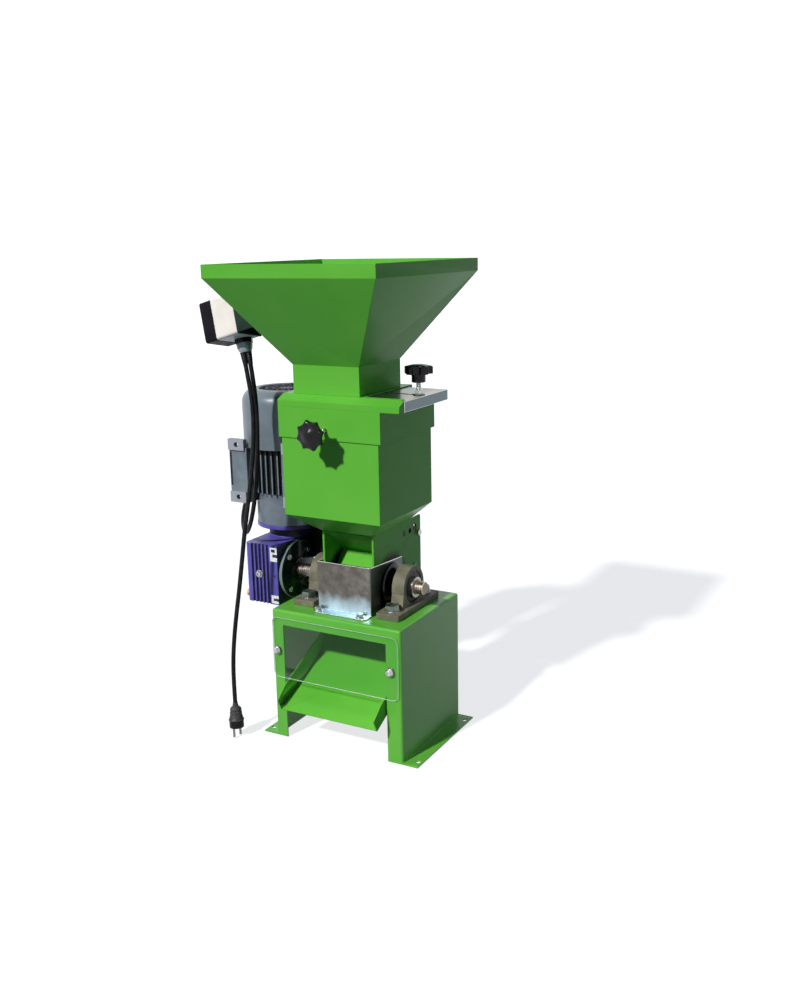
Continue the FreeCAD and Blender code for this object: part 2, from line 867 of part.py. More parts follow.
pocket(guard, sketch(guard, "XY", "base_height + guard_sheet", guard_holes), "guard_sheet")
node("jaw_guard", guard)
guard_seats = [(x, "guard_screw_y", "base_height + guard_sheet + guard_screw_r*0.4")
               for x in ("guard_screw_left", "guard_screw_right")]
guard_screws, guard_shanks = hex_screws("+z", guard_seats, "guard_screw_r*1.8",
                                        "guard_screw_r*1.3", "guard_screw_r", "guard_screw_r*4.5")
middle_screws = [guard_screws]
washers.append(rings("+z", "guard_screw_r*2.2", "guard_screw_r + hole_play",
                     "guard_screw_r*0.4",
                     [(x, y, "base_height + guard_sheet") for x, y, z in guard_seats]))
middle_nuts = [nuts("-z", "guard_screw_r*1.8", "guard_screw_r", "guard_screw_r*1.6",
                    [(x, y, "base_height - base_sheet") for x, y, z in guard_seats])]

# Feed box: square box over a sloped bottom, open at both ends
low_rect = ("-cheek_outer", "cheek_outer", "cheek_front", "feed_back")
high_rect = ("feed_left", "feed_right", "feed_front", "feed_back")
outer = fuse(funnel("cheek_top", low_rect, "feed_low", high_rect),
             box("feed_left", "feed_right", "feed_front", "feed_back", "feed_low", "feed_high"))
inner_low = ("-cheek_outer + slope_inset", "cheek_outer - slope_inset",
             "cheek_front + slope_inset", "feed_back - feed_sheet")
inner_high = ("feed_left + slope_inset", "feed_right - slope_inset",
              "feed_front + slope_inset", "feed_back - feed_sheet")
knob_bore = "stud_r + stud_play"
feed = cut(outer, funnel("cheek_top", inner_low, "feed_low", inner_high),
           box("feed_left + feed_sheet", "feed_right - feed_sheet", "feed_front + feed_sheet",
               "feed_back - feed_sheet", "feed_low", "feed_high"),
           rod("+y", knob_bore, "3*feed_sheet", "0", "feed_front - feed_sheet", "front_knob_z"))
node("feed_box", feed)
way_hole = box("way_left", "way_right", "way_front", "way_back", "sleeve_low", "rail_lip_top")
sleeve = cut(box("sleeve_left", "sleeve_right", "sleeve_front", "sleeve_back", "sleeve_low",
                 "sleeve_high"),
             box("sleeve_left + feed_sheet", "sleeve_right - feed_sheet",
                 "sleeve_front + feed_sheet", "sleeve_back - feed_sheet", "sleeve_low",
                 "sleeve_high - feed_sheet"), way_hole,
             rod("+y", knob_bore, "3*feed_sheet", "0", "sleeve_front - feed_sheet",
                 "front_knob_z"))
node("lid_sleeve", sleeve)

# Gate guide: floor, two rails with ledges and lips, a cross bar under the clamp stud
floor_top = "sleeve_high + floor_sheet"
floor = box("sleeve_left", "sleeve_right", "sleeve_front", "sleeve_back", "sleeve_high", floor_top)
guide_parts = [
    floor,
    box("sleeve_left", "rail_end", "sleeve_front", "rail_front_inner", "sleeve_high",
        "rail_lip_top"),
    box("sleeve_left", "rear_rail_end", "rail_back_inner", "sleeve_back", "sleeve_high",
        "rail_lip_top"),
    box("sleeve_left", "ledge_end", "rail_front_inner", "rail_front_inner + rail_ledge",
        "sleeve_high", "rail_bar_top"),
    box("sleeve_left", "ledge_end", "rail_back_inner - rail_ledge", "rail_back_inner",
        "sleeve_high", "rail_bar_top"),
    box("sleeve_left", "ledge_end", "rail_front_inner", "rail_front_inner + rail_lip",
        "rail_lip_low", "rail_lip_top"),
    box("sleeve_left", "rear_rail_end", "way_back", "rail_back_inner", "rail_lip_low",
        "rail_lip_top"),
    box("sleeve_left", "way_left", "rail_front_inner", "rail_back_inner", "rail_lip_low",
        "rail_lip_top"),
    box("way_right", "neck_right + rail_ledge/2", "rail_front_inner", "rail_back_inner",
        "rail_lip_low", "rail_lip_top"),
    box("sleeve_left", "gate_left - gate_side_play", "rail_front_inner", "rail_back_inner",
        "sleeve_high", "rail_lip_top"),
    box("knob_x - crossbar_half", "knob_x + crossbar_half", "rail_front_inner",
        "rail_back_inner", "sleeve_high", "rail_bar_top"),
]
rail_cut = ("sleeve_left - rail_ledge", "rail_end + rail_ledge", "sleeve_front - rail_ledge")
guide = cut(fuse(*guide_parts), box("way_left", "way_right", "way_front", "way_back",
                                    "sleeve_high", floor_top),
            rod("+z", "stud_r + hole_play", "rail_bar_top - sleeve_high + floor_sheet",
                "knob_x", "knob_y", "sleeve_high - floor_sheet"),
            funnel("rail_slope_low", (*rail_cut, "sleeve_front"), "rail_lip_top",
                   (*rail_cut, "neck_front")))
node("gate_guide", guide)

# Gate plate: slotted zinc slide with a pull flange folded down
gate_front = "rail_front_inner + gate_side_play"
gate_back = "rail_back_inner - gate_side_play"
gate_top = "gate_low + gate_sheet"
slot_half = "stud_r + 2*stud_play"
gate = cut(fuse(box("gate_left", "rail_end", gate_front, gate_back, "gate_low", gate_top),
                box("rail_end - gate_sheet", "rail_end", gate_front, gate_back,
                    gate_top + " - gate_lip_depth", gate_top)),
           box("knob_x - gate_travel - (" + slot_half + ")", "knob_x", "knob_y - (" + slot_half + ")",
               "knob_y + " + slot_half, "gate_low", gate_top),
           rod("+z", slot_half, "gate_sheet", "knob_x", "knob_y", "gate_low"))
node("gate_plate", gate)

# Star knob on the gate, with stud, nut and washer
star = body("gate_knob")
star_top = "star_lobe_thick + star_lobe_z - star_hub_z"
spin(star, [("0", "0"), ("star_hub_r", "0"), ("star_hub_r", "star_lobe_z - star_hub_z"),
            ("star_r", "star_lobe_z - star_hub_z"), ("star_r", star_top),
            ("star_dome_r", star_top + " + star_dome_rise*0.7"),
            ("star_dome_r/2", star_top + " + star_dome_rise"), ("0", star_top + " + star_dome_rise")])
bite = pocket(star, sketch(star, "XY", star_top + " + 2*star_dome_rise",
                           [("star_bite_at", "0", "star_bite_r")]),
              "3*star_dome_rise + star_lobe_thick")
polar(star, bite, "Z", "star_lobes")
star_bore = pocket(star, sketch(star, "XY", "0", [("0", "0", "stud_r")]), "star_lobe_z - star_hub_z")
place(star, "knob_x", "knob_y", "star_hub_z")
node("gate_knob", star)
node("gate_stud", gather([
    rod("+z", "stud_r", "star_lobe_z - rail_bar_top + rail_ledge", "knob_x", "knob_y",
        "rail_bar_top - rail_ledge"),
    rings("+z", "gate_washer_r", "stud_r", "gate_washer_thick",
          [("knob_x", "knob_y", "gate_washer_z")]),
    nuts("+z", "gate_nut_r", "stud_r", "gate_nut_high",
         [("knob_x", "knob_y", "gate_washer_z + gate_washer_thick")])]))

# Hopper: neck, four sloped walls and an upright rim, open through
neck = ("neck_left", "neck_right", "neck_front", "neck_back")
rim = ("rim_left", "rim_right", "rim_front", "rim_back")


def shrink(frame, by):
    return (f"{frame[0]} + {by}", f"{frame[1]} - {by}", f"{frame[2]} + {by}", f"{frame[3]} - {by}")


hopper_skin = fuse(box(*neck, "rail_lip_top", "neck_top"), funnel("neck_top", neck, "rim_low", rim),
                   box(*rim, "rim_low", "rim_high"))
hopper = cut(hopper_skin, box(*shrink(neck, "hopper_sheet"), "rail_lip_top", "neck_top"),
             funnel("neck_top", shrink(neck, "hopper_sheet"), "rim_low",
                    shrink(rim, "hopper_inset")),
             box(*shrink(rim, "hopper_sheet"), "rim_low", "rim_high"))
node("hopper", hopper)

# Front knob: nine lobes, a stud into a weld nut behind the feed box wall
knob = body("front_knob")
full = "front_knob_hub + front_knob_thick"
spin(knob, [("0", "0"), ("front_knob_hub_r", "0"), ("front_knob_hub_r", "front_knob_hub"),
            ("front_knob_r", "front_knob_hub"), ("front_knob_r", full),
            ("front_knob_r*0.8", full + " + front_knob_dome*0.5"),
            ("front_knob_r*0.45", full + " + front_knob_dome*0.92"),
            ("0", full + " + front_knob_dome")])
bite = pocket(knob, sketch(knob, "XY", full + " + 2*front_knob_dome",
                           [("front_knob_bite_at", "0", "front_knob_bite_r")]),
              full + " + 2*front_knob_dome")
polar(knob, bite, "Z", "front_knob_bites")
pocket(knob, sketch(knob, "XY", "0", [("0", "0", "stud_r")]), "front_knob_hub + front_knob_dome")
knob.Placement.Rotation = TURNS["-y"]
place(knob, "0", "front_knob_root", "front_knob_z")
node("front_knob", knob)
nut_face = "feed_front + feed_sheet"
node("front_stud", rod("+y", "stud_r", nut_face + " + weld_nut_thick - front_knob_root"
                       " + front_knob_hub + front_knob_dome", "0",
                       "front_knob_root - front_knob_hub - front_knob_dome", "front_knob_z"))
middle_nuts.append(nuts("+y", "weld_nut_r", "stud_r + hole_play", "weld_nut_thick",
                        [("0", nut_face, "front_knob_z")]))

# Pillow blocks, bearing rings and balls, grease nipples, bolts
nipples = []
outer_rings = []
inner_rings = []
balls = []
for side, sign in (("left", "-"), ("right", "")):
    block = body(side + "_block_casting")
    foot = sketch(block, "YZ", "0", [rect("-block_half_length", "block_half_length",
                                         "base_height", "base_height + block_foot_high")])
    pad(block, foot, "2*block_half_foot", both=True)
    soften(block, lambda e: along(e, "z"), "block_foot_high/3")
    web = sketch(block, "YZ", "0", [[
        ("-block_web_low", "base_height"), ("block_web_low", "base_height"),
        ("block_web_low", "base_height + block_foot_high"), ("block_web_high", "axis_z"),
        ("-block_web_high", "axis_z"), ("-block_web_low", "base_height + block_foot_high")]])
    pad(block, web, "2*block_body_half", both=True)
    pad(block, sketch(block, "YZ", "0", [("0", "axis_z", "block_dome_r")]), "2*block_body_half",
        both=True)
    pocket(block, sketch(block, "YZ", "0", [("0", "axis_z", "ring_outer_r")]),
           "4*block_body_half", both=True)
    slots = [rect("-block_bolt_r - hole_play", "block_bolt_r + hole_play",
                  sy + "block_bolt_y - block_slot_half", sy + "block_bolt_y + block_slot_half")
             for sy in ("", "-")]
    pocket(block, sketch(block, "XY", "base_height + block_foot_high", slots), "block_foot_high")
    place(block, sign + "block_bolt_x", "0", "0")
    nipple = rod("+z", "nipple_r", "nipple_long", sign + "block_bolt_x",
                 "nipple_root*sin(nipple_tilt)", "axis_z + nipple_root*cos(nipple_tilt)")
    tip = cone("+z", "nipple_r*0.9", "nipple_r*0.5", "nipple_long/3", sign + "block_bolt_x",
               "(nipple_root + nipple_long)*sin(nipple_tilt)",
               "axis_z + (nipple_root + nipple_long)*cos(nipple_tilt)")
    for piece in (nipple, tip):
        piece.Placement.Rotation = FreeCAD.Rotation(FreeCAD.Vector(-1, 0, 0), 1)
        piece.setExpression("Placement.Rotation.Angle", bind("nipple_tilt"))
    node(side + "_block_housing", cut(block, nipple))
    nipples.append(fuse(nipple, tip))
    middle = sign + "block_bolt_x"
    outer_rings.append(rings("+x", "ring_outer_r", "ring_outer_in", "2*ring_outer_half",
                             [(middle + " - ring_outer_half", "0", "axis_z")]))
    inner_rings.append(rings("+x", "ring_inner_out", "shaft_r", "2*ring_inner_half",
                             [(middle + " - ring_inner_half", "0", "axis_z")]))
    for i in range(int(sizes["ball_count"])):
        ball = doc.addObject("Part::Sphere", fresh("ball"))
        ball.setExpression("Radius", bind("ball_r"))
        angle = f"({i}*360/ball_count)"
        place(ball, middle, f"ball_ring_r*sin{angle}", f"axis_z + ball_ring_r*cos{angle}")
        balls.append(ball)
node("grease_nipples", gather(nipples))
node("bearing_outer_rings", gather(outer_rings))
node("bearing_inner_rings", gather(inner_rings))
node("bearing_balls", gather(balls))
bolt_seats = [(sx + "block_bolt_x", sy + "block_bolt_y",
               "base_height + block_foot_high + washer_thick") for sx in ("", "-")
              for sy in ("", "-")]
block_bolts, block_shanks = hex_screws(
    "+z", bolt_seats, "bolt_head_r", "bolt_head_high", "block_bolt_r",
    "washer_thick + block_foot_high + base_sheet + bolt_nut_high")
node("block_bolts", block_bolts)
washers.append(rings("+z", "washer_r", "block_bolt_r + hole_play", "washer_thick",
                     [(x, y, "base_height + block_foot_high") for x, y, z in bolt_seats]))
node("washers", gather(washers))
node("block_nuts", nuts("-z", "bolt_head_r", "block_bolt_r", "bolt_nut_high",
                        [(x, y, "base_height - base_sheet") for x, y, z in bolt_seats]))

# Shaft, drum and key
key = box("-key_half_long", "key_half_long", "-key_half", "key_half", "axis_z + key_low",
          "axis_z + key_high")
shaft = cut(fuse(
    rod("+x", "shaft_r", "shaft_step_right - shaft_step_left", "shaft_step_left", "0", "axis_z"),
    rod("+x", "shaft_thin_r", "shaft_step_left - shaft_end_left", "shaft_end_left", "0", "axis_z"),
    rod("+x", "shaft_thin_r", "shaft_end_right - shaft_chamfer - shaft_step_right",
        "shaft_step_right", "0", "axis_z"),
    cone("+x", "shaft_thin_r", "shaft_thin_r - shaft_chamfer", "shaft_chamfer",
         "shaft_end_right - shaft_chamfer", "0", "axis_z")), key)
node("main_shaft", shaft)
node("drum_key", key)
drum = body("drum_blank")
pad(drum, sketch(drum, "YZ", "0", [("0", "0", "drum_r")]), "2*drum_half", both=True)
groove = pocket(drum, sketch(drum, "YZ", "0", [[
    ("-drum_groove_half", "drum_r + drum_groove_depth/2"), ("0", "drum_r - drum_groove_depth"),
    ("drum_groove_half", "drum_r + drum_groove_depth/2")]]), "3*drum_half", both=True)
polar(drum, groove, "X", "drum_grooves")
pocket(drum, sketch(drum, "YZ", "0", [("0", "0", "shaft_r")]), "3*drum_half", both=True)
place(drum, "0", "0", "axis_z")
node("cracking_drum", cut(drum, key))

# Adjustable jaw: plate, head with pivot bore, arm to the slots in the cheeks
jaw = body("jaw_casting")
pad(jaw, sketch(jaw, "YZ", "0", [[
    ("jaw_face_low_y", "jaw_low_z"), ("jaw_low_back", "jaw_low_z"), ("jaw_back_y", "axis_z"),
    ("jaw_back_y", "jaw_pivot_z - jaw_arm_half"), ("jaw_arm_end", "jaw_pivot_z - jaw_arm_half"),
    ("jaw_arm_end", "jaw_pivot_z + jaw_arm_half"), ("jaw_head_front", "jaw_head_top"),
    ("jaw_face_top_y", "jaw_face_top_z"), ("jaw_face_y", "axis_z")]]), "2*jaw_half", both=True)
pocket(jaw, sketch(jaw, "YZ", "0", [("jaw_pivot_y", "jaw_pivot_z", "jaw_pin_r + turning_play")]),
       "4*jaw_half", both=True)
pocket(jaw, sketch(jaw, "YZ", "0", [("jaw_slot_y", "jaw_pivot_z", "jaw_pin_r")]),
       "4*jaw_half", both=True)
jaw.Label = "adjustable_jaw"
node("adjustable_jaw", jaw)
node("jaw_pivot_pin", rod("+x", "jaw_pin_r", "2*cheek_outer", "-cheek_outer", "jaw_pivot_y",
                          "jaw_pivot_z"))
node("jaw_slot_pin", rod("+x", "jaw_pin_r", "2*cheek_outer", "-cheek_outer", "jaw_slot_y",
                         "jaw_pivot_z"))
stop, stop_shank = hex_screws("+x", [("cheek_outer", "stop_y", "stop_z")], "jaw_pin_r*1.8",
                              "jaw_pin_r*1.3", "jaw_pin_r", "2*cheek_outer + jaw_pin_r*3")
middle_nuts.append(nuts("-x", "jaw_pin_r*1.8", "jaw_pin_r", "jaw_pin_r*1.6",
                        [("-cheek_outer", "stop_y", "stop_z")]))
node("middle_screws", gather(middle_screws + [stop]))
node("middle_nuts", gather(middle_nuts))

# Gearbox: ribbed case, side cover, output flange, wheel and worm
case = body("gear_case_block")
pad(case, sketch(case, "XY", "gear_low", [rect("gear_left", "gear_right", "gear_front",
                                              "motor_y")]), "gear_high - gear_low")
soften(case, lambda e: along(e, "z") and e.Vertexes[0].Y < 0 and e.Vertexes[0].X < -200,
       "gear_corner")
fins = []
for i in range(int(sizes["gear_fin_count"])):
    left = f"gear_fin_left + {i}*gear_fin_gap"
    fins.append(rect(left, left + " + gear_fin_width", "gear_front - gear_fin_depth",
                     "gear_front + gear_fin_depth"))
pocket(case, sketch(case, "XY", "gear_high", fins), "gear_high - gear_low")
worm_case = rod("+z", "worm_case_r", "gear_high - gear_low", "motor_x", "motor_y", "gear_low")
neck_case = rod("+z", "gear_neck_r", "gear_flange_low - gear_high", "motor_x", "motor_y",
                "gear_high")
neck_disc = rod("+z", "gear_flange_r", "gear_flange_high - gear_flange_low", "motor_x",
                "motor_y", "gear_flange_low")
flange_seats = []
for i in range(int(sizes["flange_bolts"])):
    angle = f"(45 + {i}*360/flange_bolts)"
    flange_seats.append(("gear_right + flange_disc_thick", f"flange_bolt_ring*sin{angle}",
                         f"axis_z + flange_bolt_ring*cos{angle}"))
flange_screws, flange_shanks = hex_screws("+x", flange_seats, "small_screw_r*2",
                                          "small_screw_r*4/3", "small_screw_r",
                                          "flange_disc_thick*2")
plug_seats = [("motor_x - 3*plug_high/2", "gear_front + gear_fin_depth", "axis_z")]
plugs, plug_shanks = hex_screws("-y", plug_seats, "plug_r*0.8", "plug_high + gear_fin_depth",
                                "plug_r*0.6", "2*plug_high")
cave_long = "gear_right - gear_left"
housing = cut(fuse(case, worm_case, neck_case, neck_disc),
              rod("+x", "wheel_cave_r", cave_long, "gear_left", "0", "axis_z"),
              rod("+z", "worm_cave_r", "gear_flange_high - worm_cave_low", "motor_x", "motor_y",
                  "worm_cave_low"),
              flange_shanks, plug_shanks,
              rod("-y", "plug_r", "2*gear_fin_depth", *plug_seats[0]))
disc = fuse(rod("+x", "flange_disc_r", "flange_disc_thick", "gear_right", "0", "axis_z"),
            rod("+x", "hollow_r + flange_disc_thick", "flange_disc_thick*1.6", "gear_right", "0",
                "axis_z"))
output = cut(disc, rod("+x", "hollow_r + turning_play", "flange_disc_thick*2", "gear_right", "0",
                       "axis_z"), flange_shanks)
node("output_flange", output)
small_screws.append(flange_screws)
small_screws.append(plugs)
node("gearbox_cover", cut(
    rod("-x", "cover_r", "cover_thick", "gear_left", "0", "axis_z"),
    rod("-x", "hollow_r + turning_play", "cover_thick", "gear_left", "0", "axis_z")))
wheel = body("wheel_blank")
pad(wheel, sketch(wheel, "YZ", "0", [("0", "0", "wheel_r")]), "2*wheel_half", both=True)
tooth = pocket(wheel, sketch(wheel, "YZ", "0", [("0", "wheel_r + tooth_cut_r/2", "tooth_cut_r")]),
               "3*wheel_half", both=True)
polar(wheel, tooth, "X", "wheel_teeth")
place(wheel, "motor_x", "0", "axis_z")
hub = rod("+x", "hollow_r", "gear_right + flange_disc_thick - gear_left + cover_thick",
          "gear_left - cover_thick", "0", "axis_z")
node("worm_wheel", cut(fuse(wheel, hub),
                       rod("+x", "shaft_thin_r", "2*(" + cave_long + ")",
                           "gear_left - 2*cover_thick", "0", "axis_z")))
node("worm_shaft", fuse(
    rod("+z", "worm_r", "worm_high - worm_low", "motor_x", "motor_y", "worm_low"),
    rod("+z", "worm_shaft_r", "worm_shaft_top - worm_shaft_low", "motor_x", "motor_y",
        "worm_shaft_low")))

# Bracket that carries the gearbox on the base's left wall
bracket_out_face = "-base_half_width - bracket_plate"
bracket_bolt = [(bracket_out_face, "bracket_screw_y + " + way + "bracket_screw_gap/2",
                 "bracket_screw_z") for way in ("", "-")]
bracket_screws, bracket_shanks = hex_screws("-x", bracket_bolt, "small_screw_r*2",
                                            "small_screw_r*4/3", "small_screw_r",
                                            "bracket_plate + base_sheet + small_screw_r*4")
gear_bolt = [("bracket_bolt_x", y, "gear_low - bracket_plate")
             for y in ("bracket_front + bracket_plate*2", "bracket_back - bracket_plate*2")]
gear_screws, gear_shanks = hex_screws("-z", gear_bolt, "small_screw_r*2", "small_screw_r*4/3",
                                      "small_screw_r", "bracket_plate + worm_cave_low - gear_low")
bracket = cut(fuse(box(bracket_out_face, "-base_half_width", "bracket_front", "bracket_back",
                       "bracket_low", "gear_low"),
                   box("bracket_out", "-base_half_width", "bracket_front", "bracket_back",
                       "gear_low - bracket_plate", "gear_low")),
              bracket_shanks, gear_shanks)
node("gearbox_bracket", bracket)
small_screws.append(bracket_screws)
small_nuts.append(nuts("+x", "small_screw_r*2", "small_screw_r", "small_screw_r*5/3",
                       [("-base_half_width + base_sheet", y, z) for x, y, z in bracket_bolt]))
small_screws.append(gear_screws)
node("small_screws", gather(small_screws))
node("small_nuts", gather(small_nuts))
node("gearbox_housing", cut(housing, gear_shanks))

# Motor: bell, finned case with cast feet, stator, shield, rotor, fan and cover
axis = ("motor_x", "motor_y")
bell = cut(
    rod("+z", "bell_r", "bell_high - gear_flange_high", *axis, "gear_flange_high"),
    rod("+z", "bell_inner_r", "bell_high - gear_flange_high", *axis,
        "gear_flange_high + bell_floor"),
    rod("+z", "worm_shaft_r + turning_play", "2*bell_floor", *axis,
        "gear_flange_high - bell_floor"))
tube = body("motor_case_tube")
pad(tube, sketch(tube, "XY", "bell_high", [("0", "0", "case_r")]), "case_high - bell_high")
fin = pad(tube, sketch(tube, "XY", "bell_high", [rect("case_inner_r + case_r/20", "fin_r",
                                                     "-fin_half", "fin_half")]),
          "case_high - bell_high")
polar(tube, fin, "Z", "fin_count")
place(tube, "motor_x", "motor_y", "0")
feet = []
for sign in ("-", ""):
    edge1 = f"motor_x {sign or '+'} foot_outer"
    edge0 = f"motor_x {sign or '+'} foot_inner"
    x0, x1 = (edge1, edge0) if sign else (edge0, edge1)
    back = "feet_plane + foot_pad_step"
    plate = box(x0, x1, back, back + " + foot_plate", "foot_low", "foot_high")
    low_pad = box(x0, x1, "feet_plane", back, "foot_low", "foot_low + foot_pad_high")
    high_pad = box(x0, x1, "feet_plane", back, "foot_high - foot_pad_high", "foot_high")
    ribs = []
    for z0, z1 in (("foot_low + foot_pad_high - foot_plate", "foot_low + foot_pad_high"),
                   ("foot_high - foot_pad_high - foot_plate", "foot_high - foot_pad_high")):
        ribs.append(box(x0, x1, back, "foot_web_back", z0, z1))
    inner = edge0 if sign else edge0
    ribs.append(box(edge0 + " - foot_plate/2", edge0 + " + foot_plate/2", back, "foot_web_back",
                    "foot_low", "case_high"))
    bores = [rod("+y", "foot_bore_r", "3*foot_plate", f"motor_x {sign or '+'} foot_bore_x",
                 "feet_plane - foot_plate", z)
             for z in ("foot_low + foot_pad_high/2", "foot_high - foot_pad_high/2")]
    feet.append(cut(fuse(plate, low_pad, high_pad, *ribs), *bores))
pad_box = box("motor_x - term_left + 4*term_lid/5", "motor_x + term_left - 4*term_lid/5",
              "motor_y + case_inner_r", "term_front", "term_low + term_lid",
              "case_high - term_lid")
cavity = rod("+z", "case_inner_r", "foot_high - foot_low", *axis, "foot_low")
skirt = rod("+z", "bell_r + hole_play", "bell_high - foot_low", *axis, "foot_low")
fan_room = rod("+z", "cover_fan_r + hole_play", "foot_high - case_high", *axis, "case_high")
node("motor_case", cut(fuse(tube, pad_box, *feet), cavity, skirt, fan_room))
node("motor_stator", cut(
    rod("+z", "case_inner_r", "stator_high - stator_low", *axis, "stator_low"),
    rod("+z", "stator_in", "stator_high - stator_low", *axis, "stator_low")))
disc = cut(rod("+z", "case_inner_r", "case_high - shield_disc_low", *axis, "shield_disc_low"),
           rod("+z", "worm_shaft_r + turning_play", "case_high - shield_disc_low", *axis,
               "shield_disc_low"))
node("motor_end_shields", gather([bell, disc]))
node("motor_rotor", fuse(
    rod("+z", "worm_shaft_r", "motor_shaft_top - worm_shaft_top", *axis, "worm_shaft_top"),
    rod("+z", "rotor_r", "stator_high - stator_low", *axis, "stator_low")))
fan = body("fan_blank")
pad(fan, sketch(fan, "XY", "fan_low", [("0", "0", "fan_hub_r")]), "fan_hub_high")
pad(fan, sketch(fan, "XY", "fan_low", [("0", "0", "fan_r")]), "fan_plate")
blade = pad(fan, sketch(fan, "XY", "fan_low", [rect("fan_hub_r/2", "fan_r", "-fan_blade_half",
                                                    "fan_blade_half")]), "fan_blade_high")
polar(fan, blade, "Z", "fan_blades")
pocket(fan, sketch(fan, "XY", "fan_low", [("0", "0", "worm_shaft_r")]), "2*fan_hub_high",
       both=True)
place(fan, "motor_x", "motor_y", "0")
fan.Label = "motor_fan"
node("motor_fan", fan)
hood = body("fan_hood")
pad(hood, sketch(hood, "XY", "case_high", [("0", "0", "cover_fan_r")]),
    "cover_fan_high - case_high")
soften(hood, lambda e: e.BoundBox.ZMin > sizes["cover_fan_high"] - 1, "cover_shoulder")
place(hood, "motor_x", "motor_y", "0")
room = body("fan_room")
pad(room, sketch(room, "XY", "case_high", [("0", "0", "cover_fan_r - cover_fan_sheet")]),
    "cover_fan_high - cover_fan_sheet - case_high")
soften(room, lambda e: e.BoundBox.ZMin > sizes["cover_fan_high"] - sizes["cover_fan_sheet"] - 1,
       "cover_shoulder - cover_fan_sheet")
place(room, "motor_x", "motor_y", "0")
lip = cut(rod("+z", "cover_fan_r - cover_fan_sheet/2", "cover_fan_sheet", *axis, "case_high"),
          rod("+z", "case_r + cover_fan_sheet", "cover_fan_sheet", *axis, "case_high"))
slots = []
for i in range(int(sizes["grille_count"])):
    slot = doc.addObject("Part::Box", fresh("slot"))
    slot.setExpression("Length", bind("grille_out - grille_in"))
    slot.setExpression("Width", bind("2*grille_slot_half"))
    slot.setExpression("Height", bind("6*cover_fan_sheet"))
    slot.Placement.Rotation = FreeCAD.Rotation(FreeCAD.Vector(0, 0, 1), 1)
    angle = f"({i}*360/grille_count)"
    slot.setExpression("Placement.Rotation.Angle", bind(angle))
    place(slot, f"motor_x + grille_in*cos{angle} + grille_slot_half*sin{angle}",
          f"motor_y + grille_in*sin{angle} - grille_slot_half*cos{angle}",
          "cover_fan_high - 3*cover_fan_sheet")
    slots.append(slot)
node("fan_cover", cut(fuse(cut(hood, room), lip), gather(slots)))

# Terminal box on the back of the motor, with lid and gland
term = cut(box("motor_x - term_left", "motor_x + term_left", "term_front", "term_back - term_lid",
               "term_low", "term_high"),
           box("motor_x - term_left + term_lid", "motor_x + term_left - term_lid",
               "term_front + term_lid", "term_back", "term_low + term_lid",
               "term_high - term_lid"))
term_lid = box("motor_x - term_left", "motor_x + term_left", "term_back - term_lid",
               "term_back", "term_low", "term_high")
node("terminal_box", gather([term, term_lid]))


glands = [fuse(hexagon("-x", "gland_r", "gland_nut", "motor_x - term_left", "term_gland_y",
                       "term_gland_z"),
               cone("-x", "gland_dome_r", "gland_dome_r*0.75", "gland_dome",
                    "motor_x - term_left - gland_nut", "term_gland_y", "term_gland_z"))]

# Tilted switch box: bracket, body, cover, buttons and one gland for both leads
tilt = (FreeCAD.Rotation(FreeCAD.Vector(1, 0, 0), -sizes["switch_tilt_x"])
        * FreeCAD.Rotation(FreeCAD.Vector(0, 1, 0), -sizes["switch_tilt_y"]))


def tilted(obj):
    wrap = gather([obj])
    wrap.Placement.Rotation = tilt
    return place(wrap, "switch_x", "switch_y", "switch_z")


half = ("-switch_half_width", "switch_half_width")
tall = ("-switch_half_high", "switch_half_high")
hollow = ("-switch_half_width + switch_wall", "switch_half_width - switch_wall",
          "-switch_half_high + switch_wall", "switch_half_high - switch_wall")
shell = body("switch_shell")
pad(shell, sketch(shell, "YZ", "0", [rect(*half, *tall)]), "switch_body_deep")
soften(shell, lambda e: along(e, "x"), "switch_corner")
pocket(shell, sketch(shell, "YZ", "switch_body_deep - switch_wall", [rect(*hollow)]),
       "switch_body_deep")
node("switch_body", tilted(shell))
cap = body("switch_cap")
pad(cap, sketch(cap, "YZ", "-switch_cover_deep", [rect(*half, *tall)]), "switch_cover_deep")
soften(cap, lambda e: along(e, "x"), "switch_corner")
pocket(cap, sketch(cap, "YZ", "0", [rect(*hollow)]), "switch_cover_deep - switch_wall")
button_seats = [("0", z, "button_r + button_play") for z in ("button_z", "-button_z")]
pocket(cap, sketch(cap, "YZ", "0", button_seats), "2*switch_cover_deep", both=True)
cap_ring = rings("-x", "button_r + switch_wall", "button_r + button_play", "button_out/2",
                 [("-switch_cover_deep", "0", z) for z in ("button_z", "-button_z")])
node("switch_cover", tilted(fuse(cap, *cap_ring.Links)))
for label, z in (("start_button", "button_z"), ("stop_button", "-button_z")):
    out = "button_out" if label == "start_button" else "button_out*1.6"
    inside = "-switch_cover_deep + switch_wall + button_in/4"
    stem = rod("-x", "button_r", f"switch_wall + {out} + button_in/4", inside, "0", z)
    back = rod("-x", "button_r + 3*button_play", "button_in/4", inside, "0", z)
    node(label, tilted(fuse(stem, back)))
glands.append(tilted(fuse(
    hexagon("-z", "twin_nut_r", "twin_nut", "gland_x", "gland_y", "-switch_half_high"),
    cone("-z", "twin_dome_r", "twin_dome_r*0.75", "twin_dome", "gland_x", "gland_y",
         "-switch_half_high - twin_nut"))))
node("cable_glands", gather(glands))
holder = fuse(
    box("switch_body_deep", "switch_body_deep + holder_sheet", *half, *tall),
    box("switch_body_deep", "holder_reach", "-switch_half_width",
        "-switch_half_width + holder_sheet", "holder_low", "holder_high"),
    box("switch_body_deep", "holder_reach", "switch_half_width - holder_sheet",
        "switch_half_width", "holder_low", "holder_high"))
node("switch_bracket", cut(tilted(holder), hopper_skin))


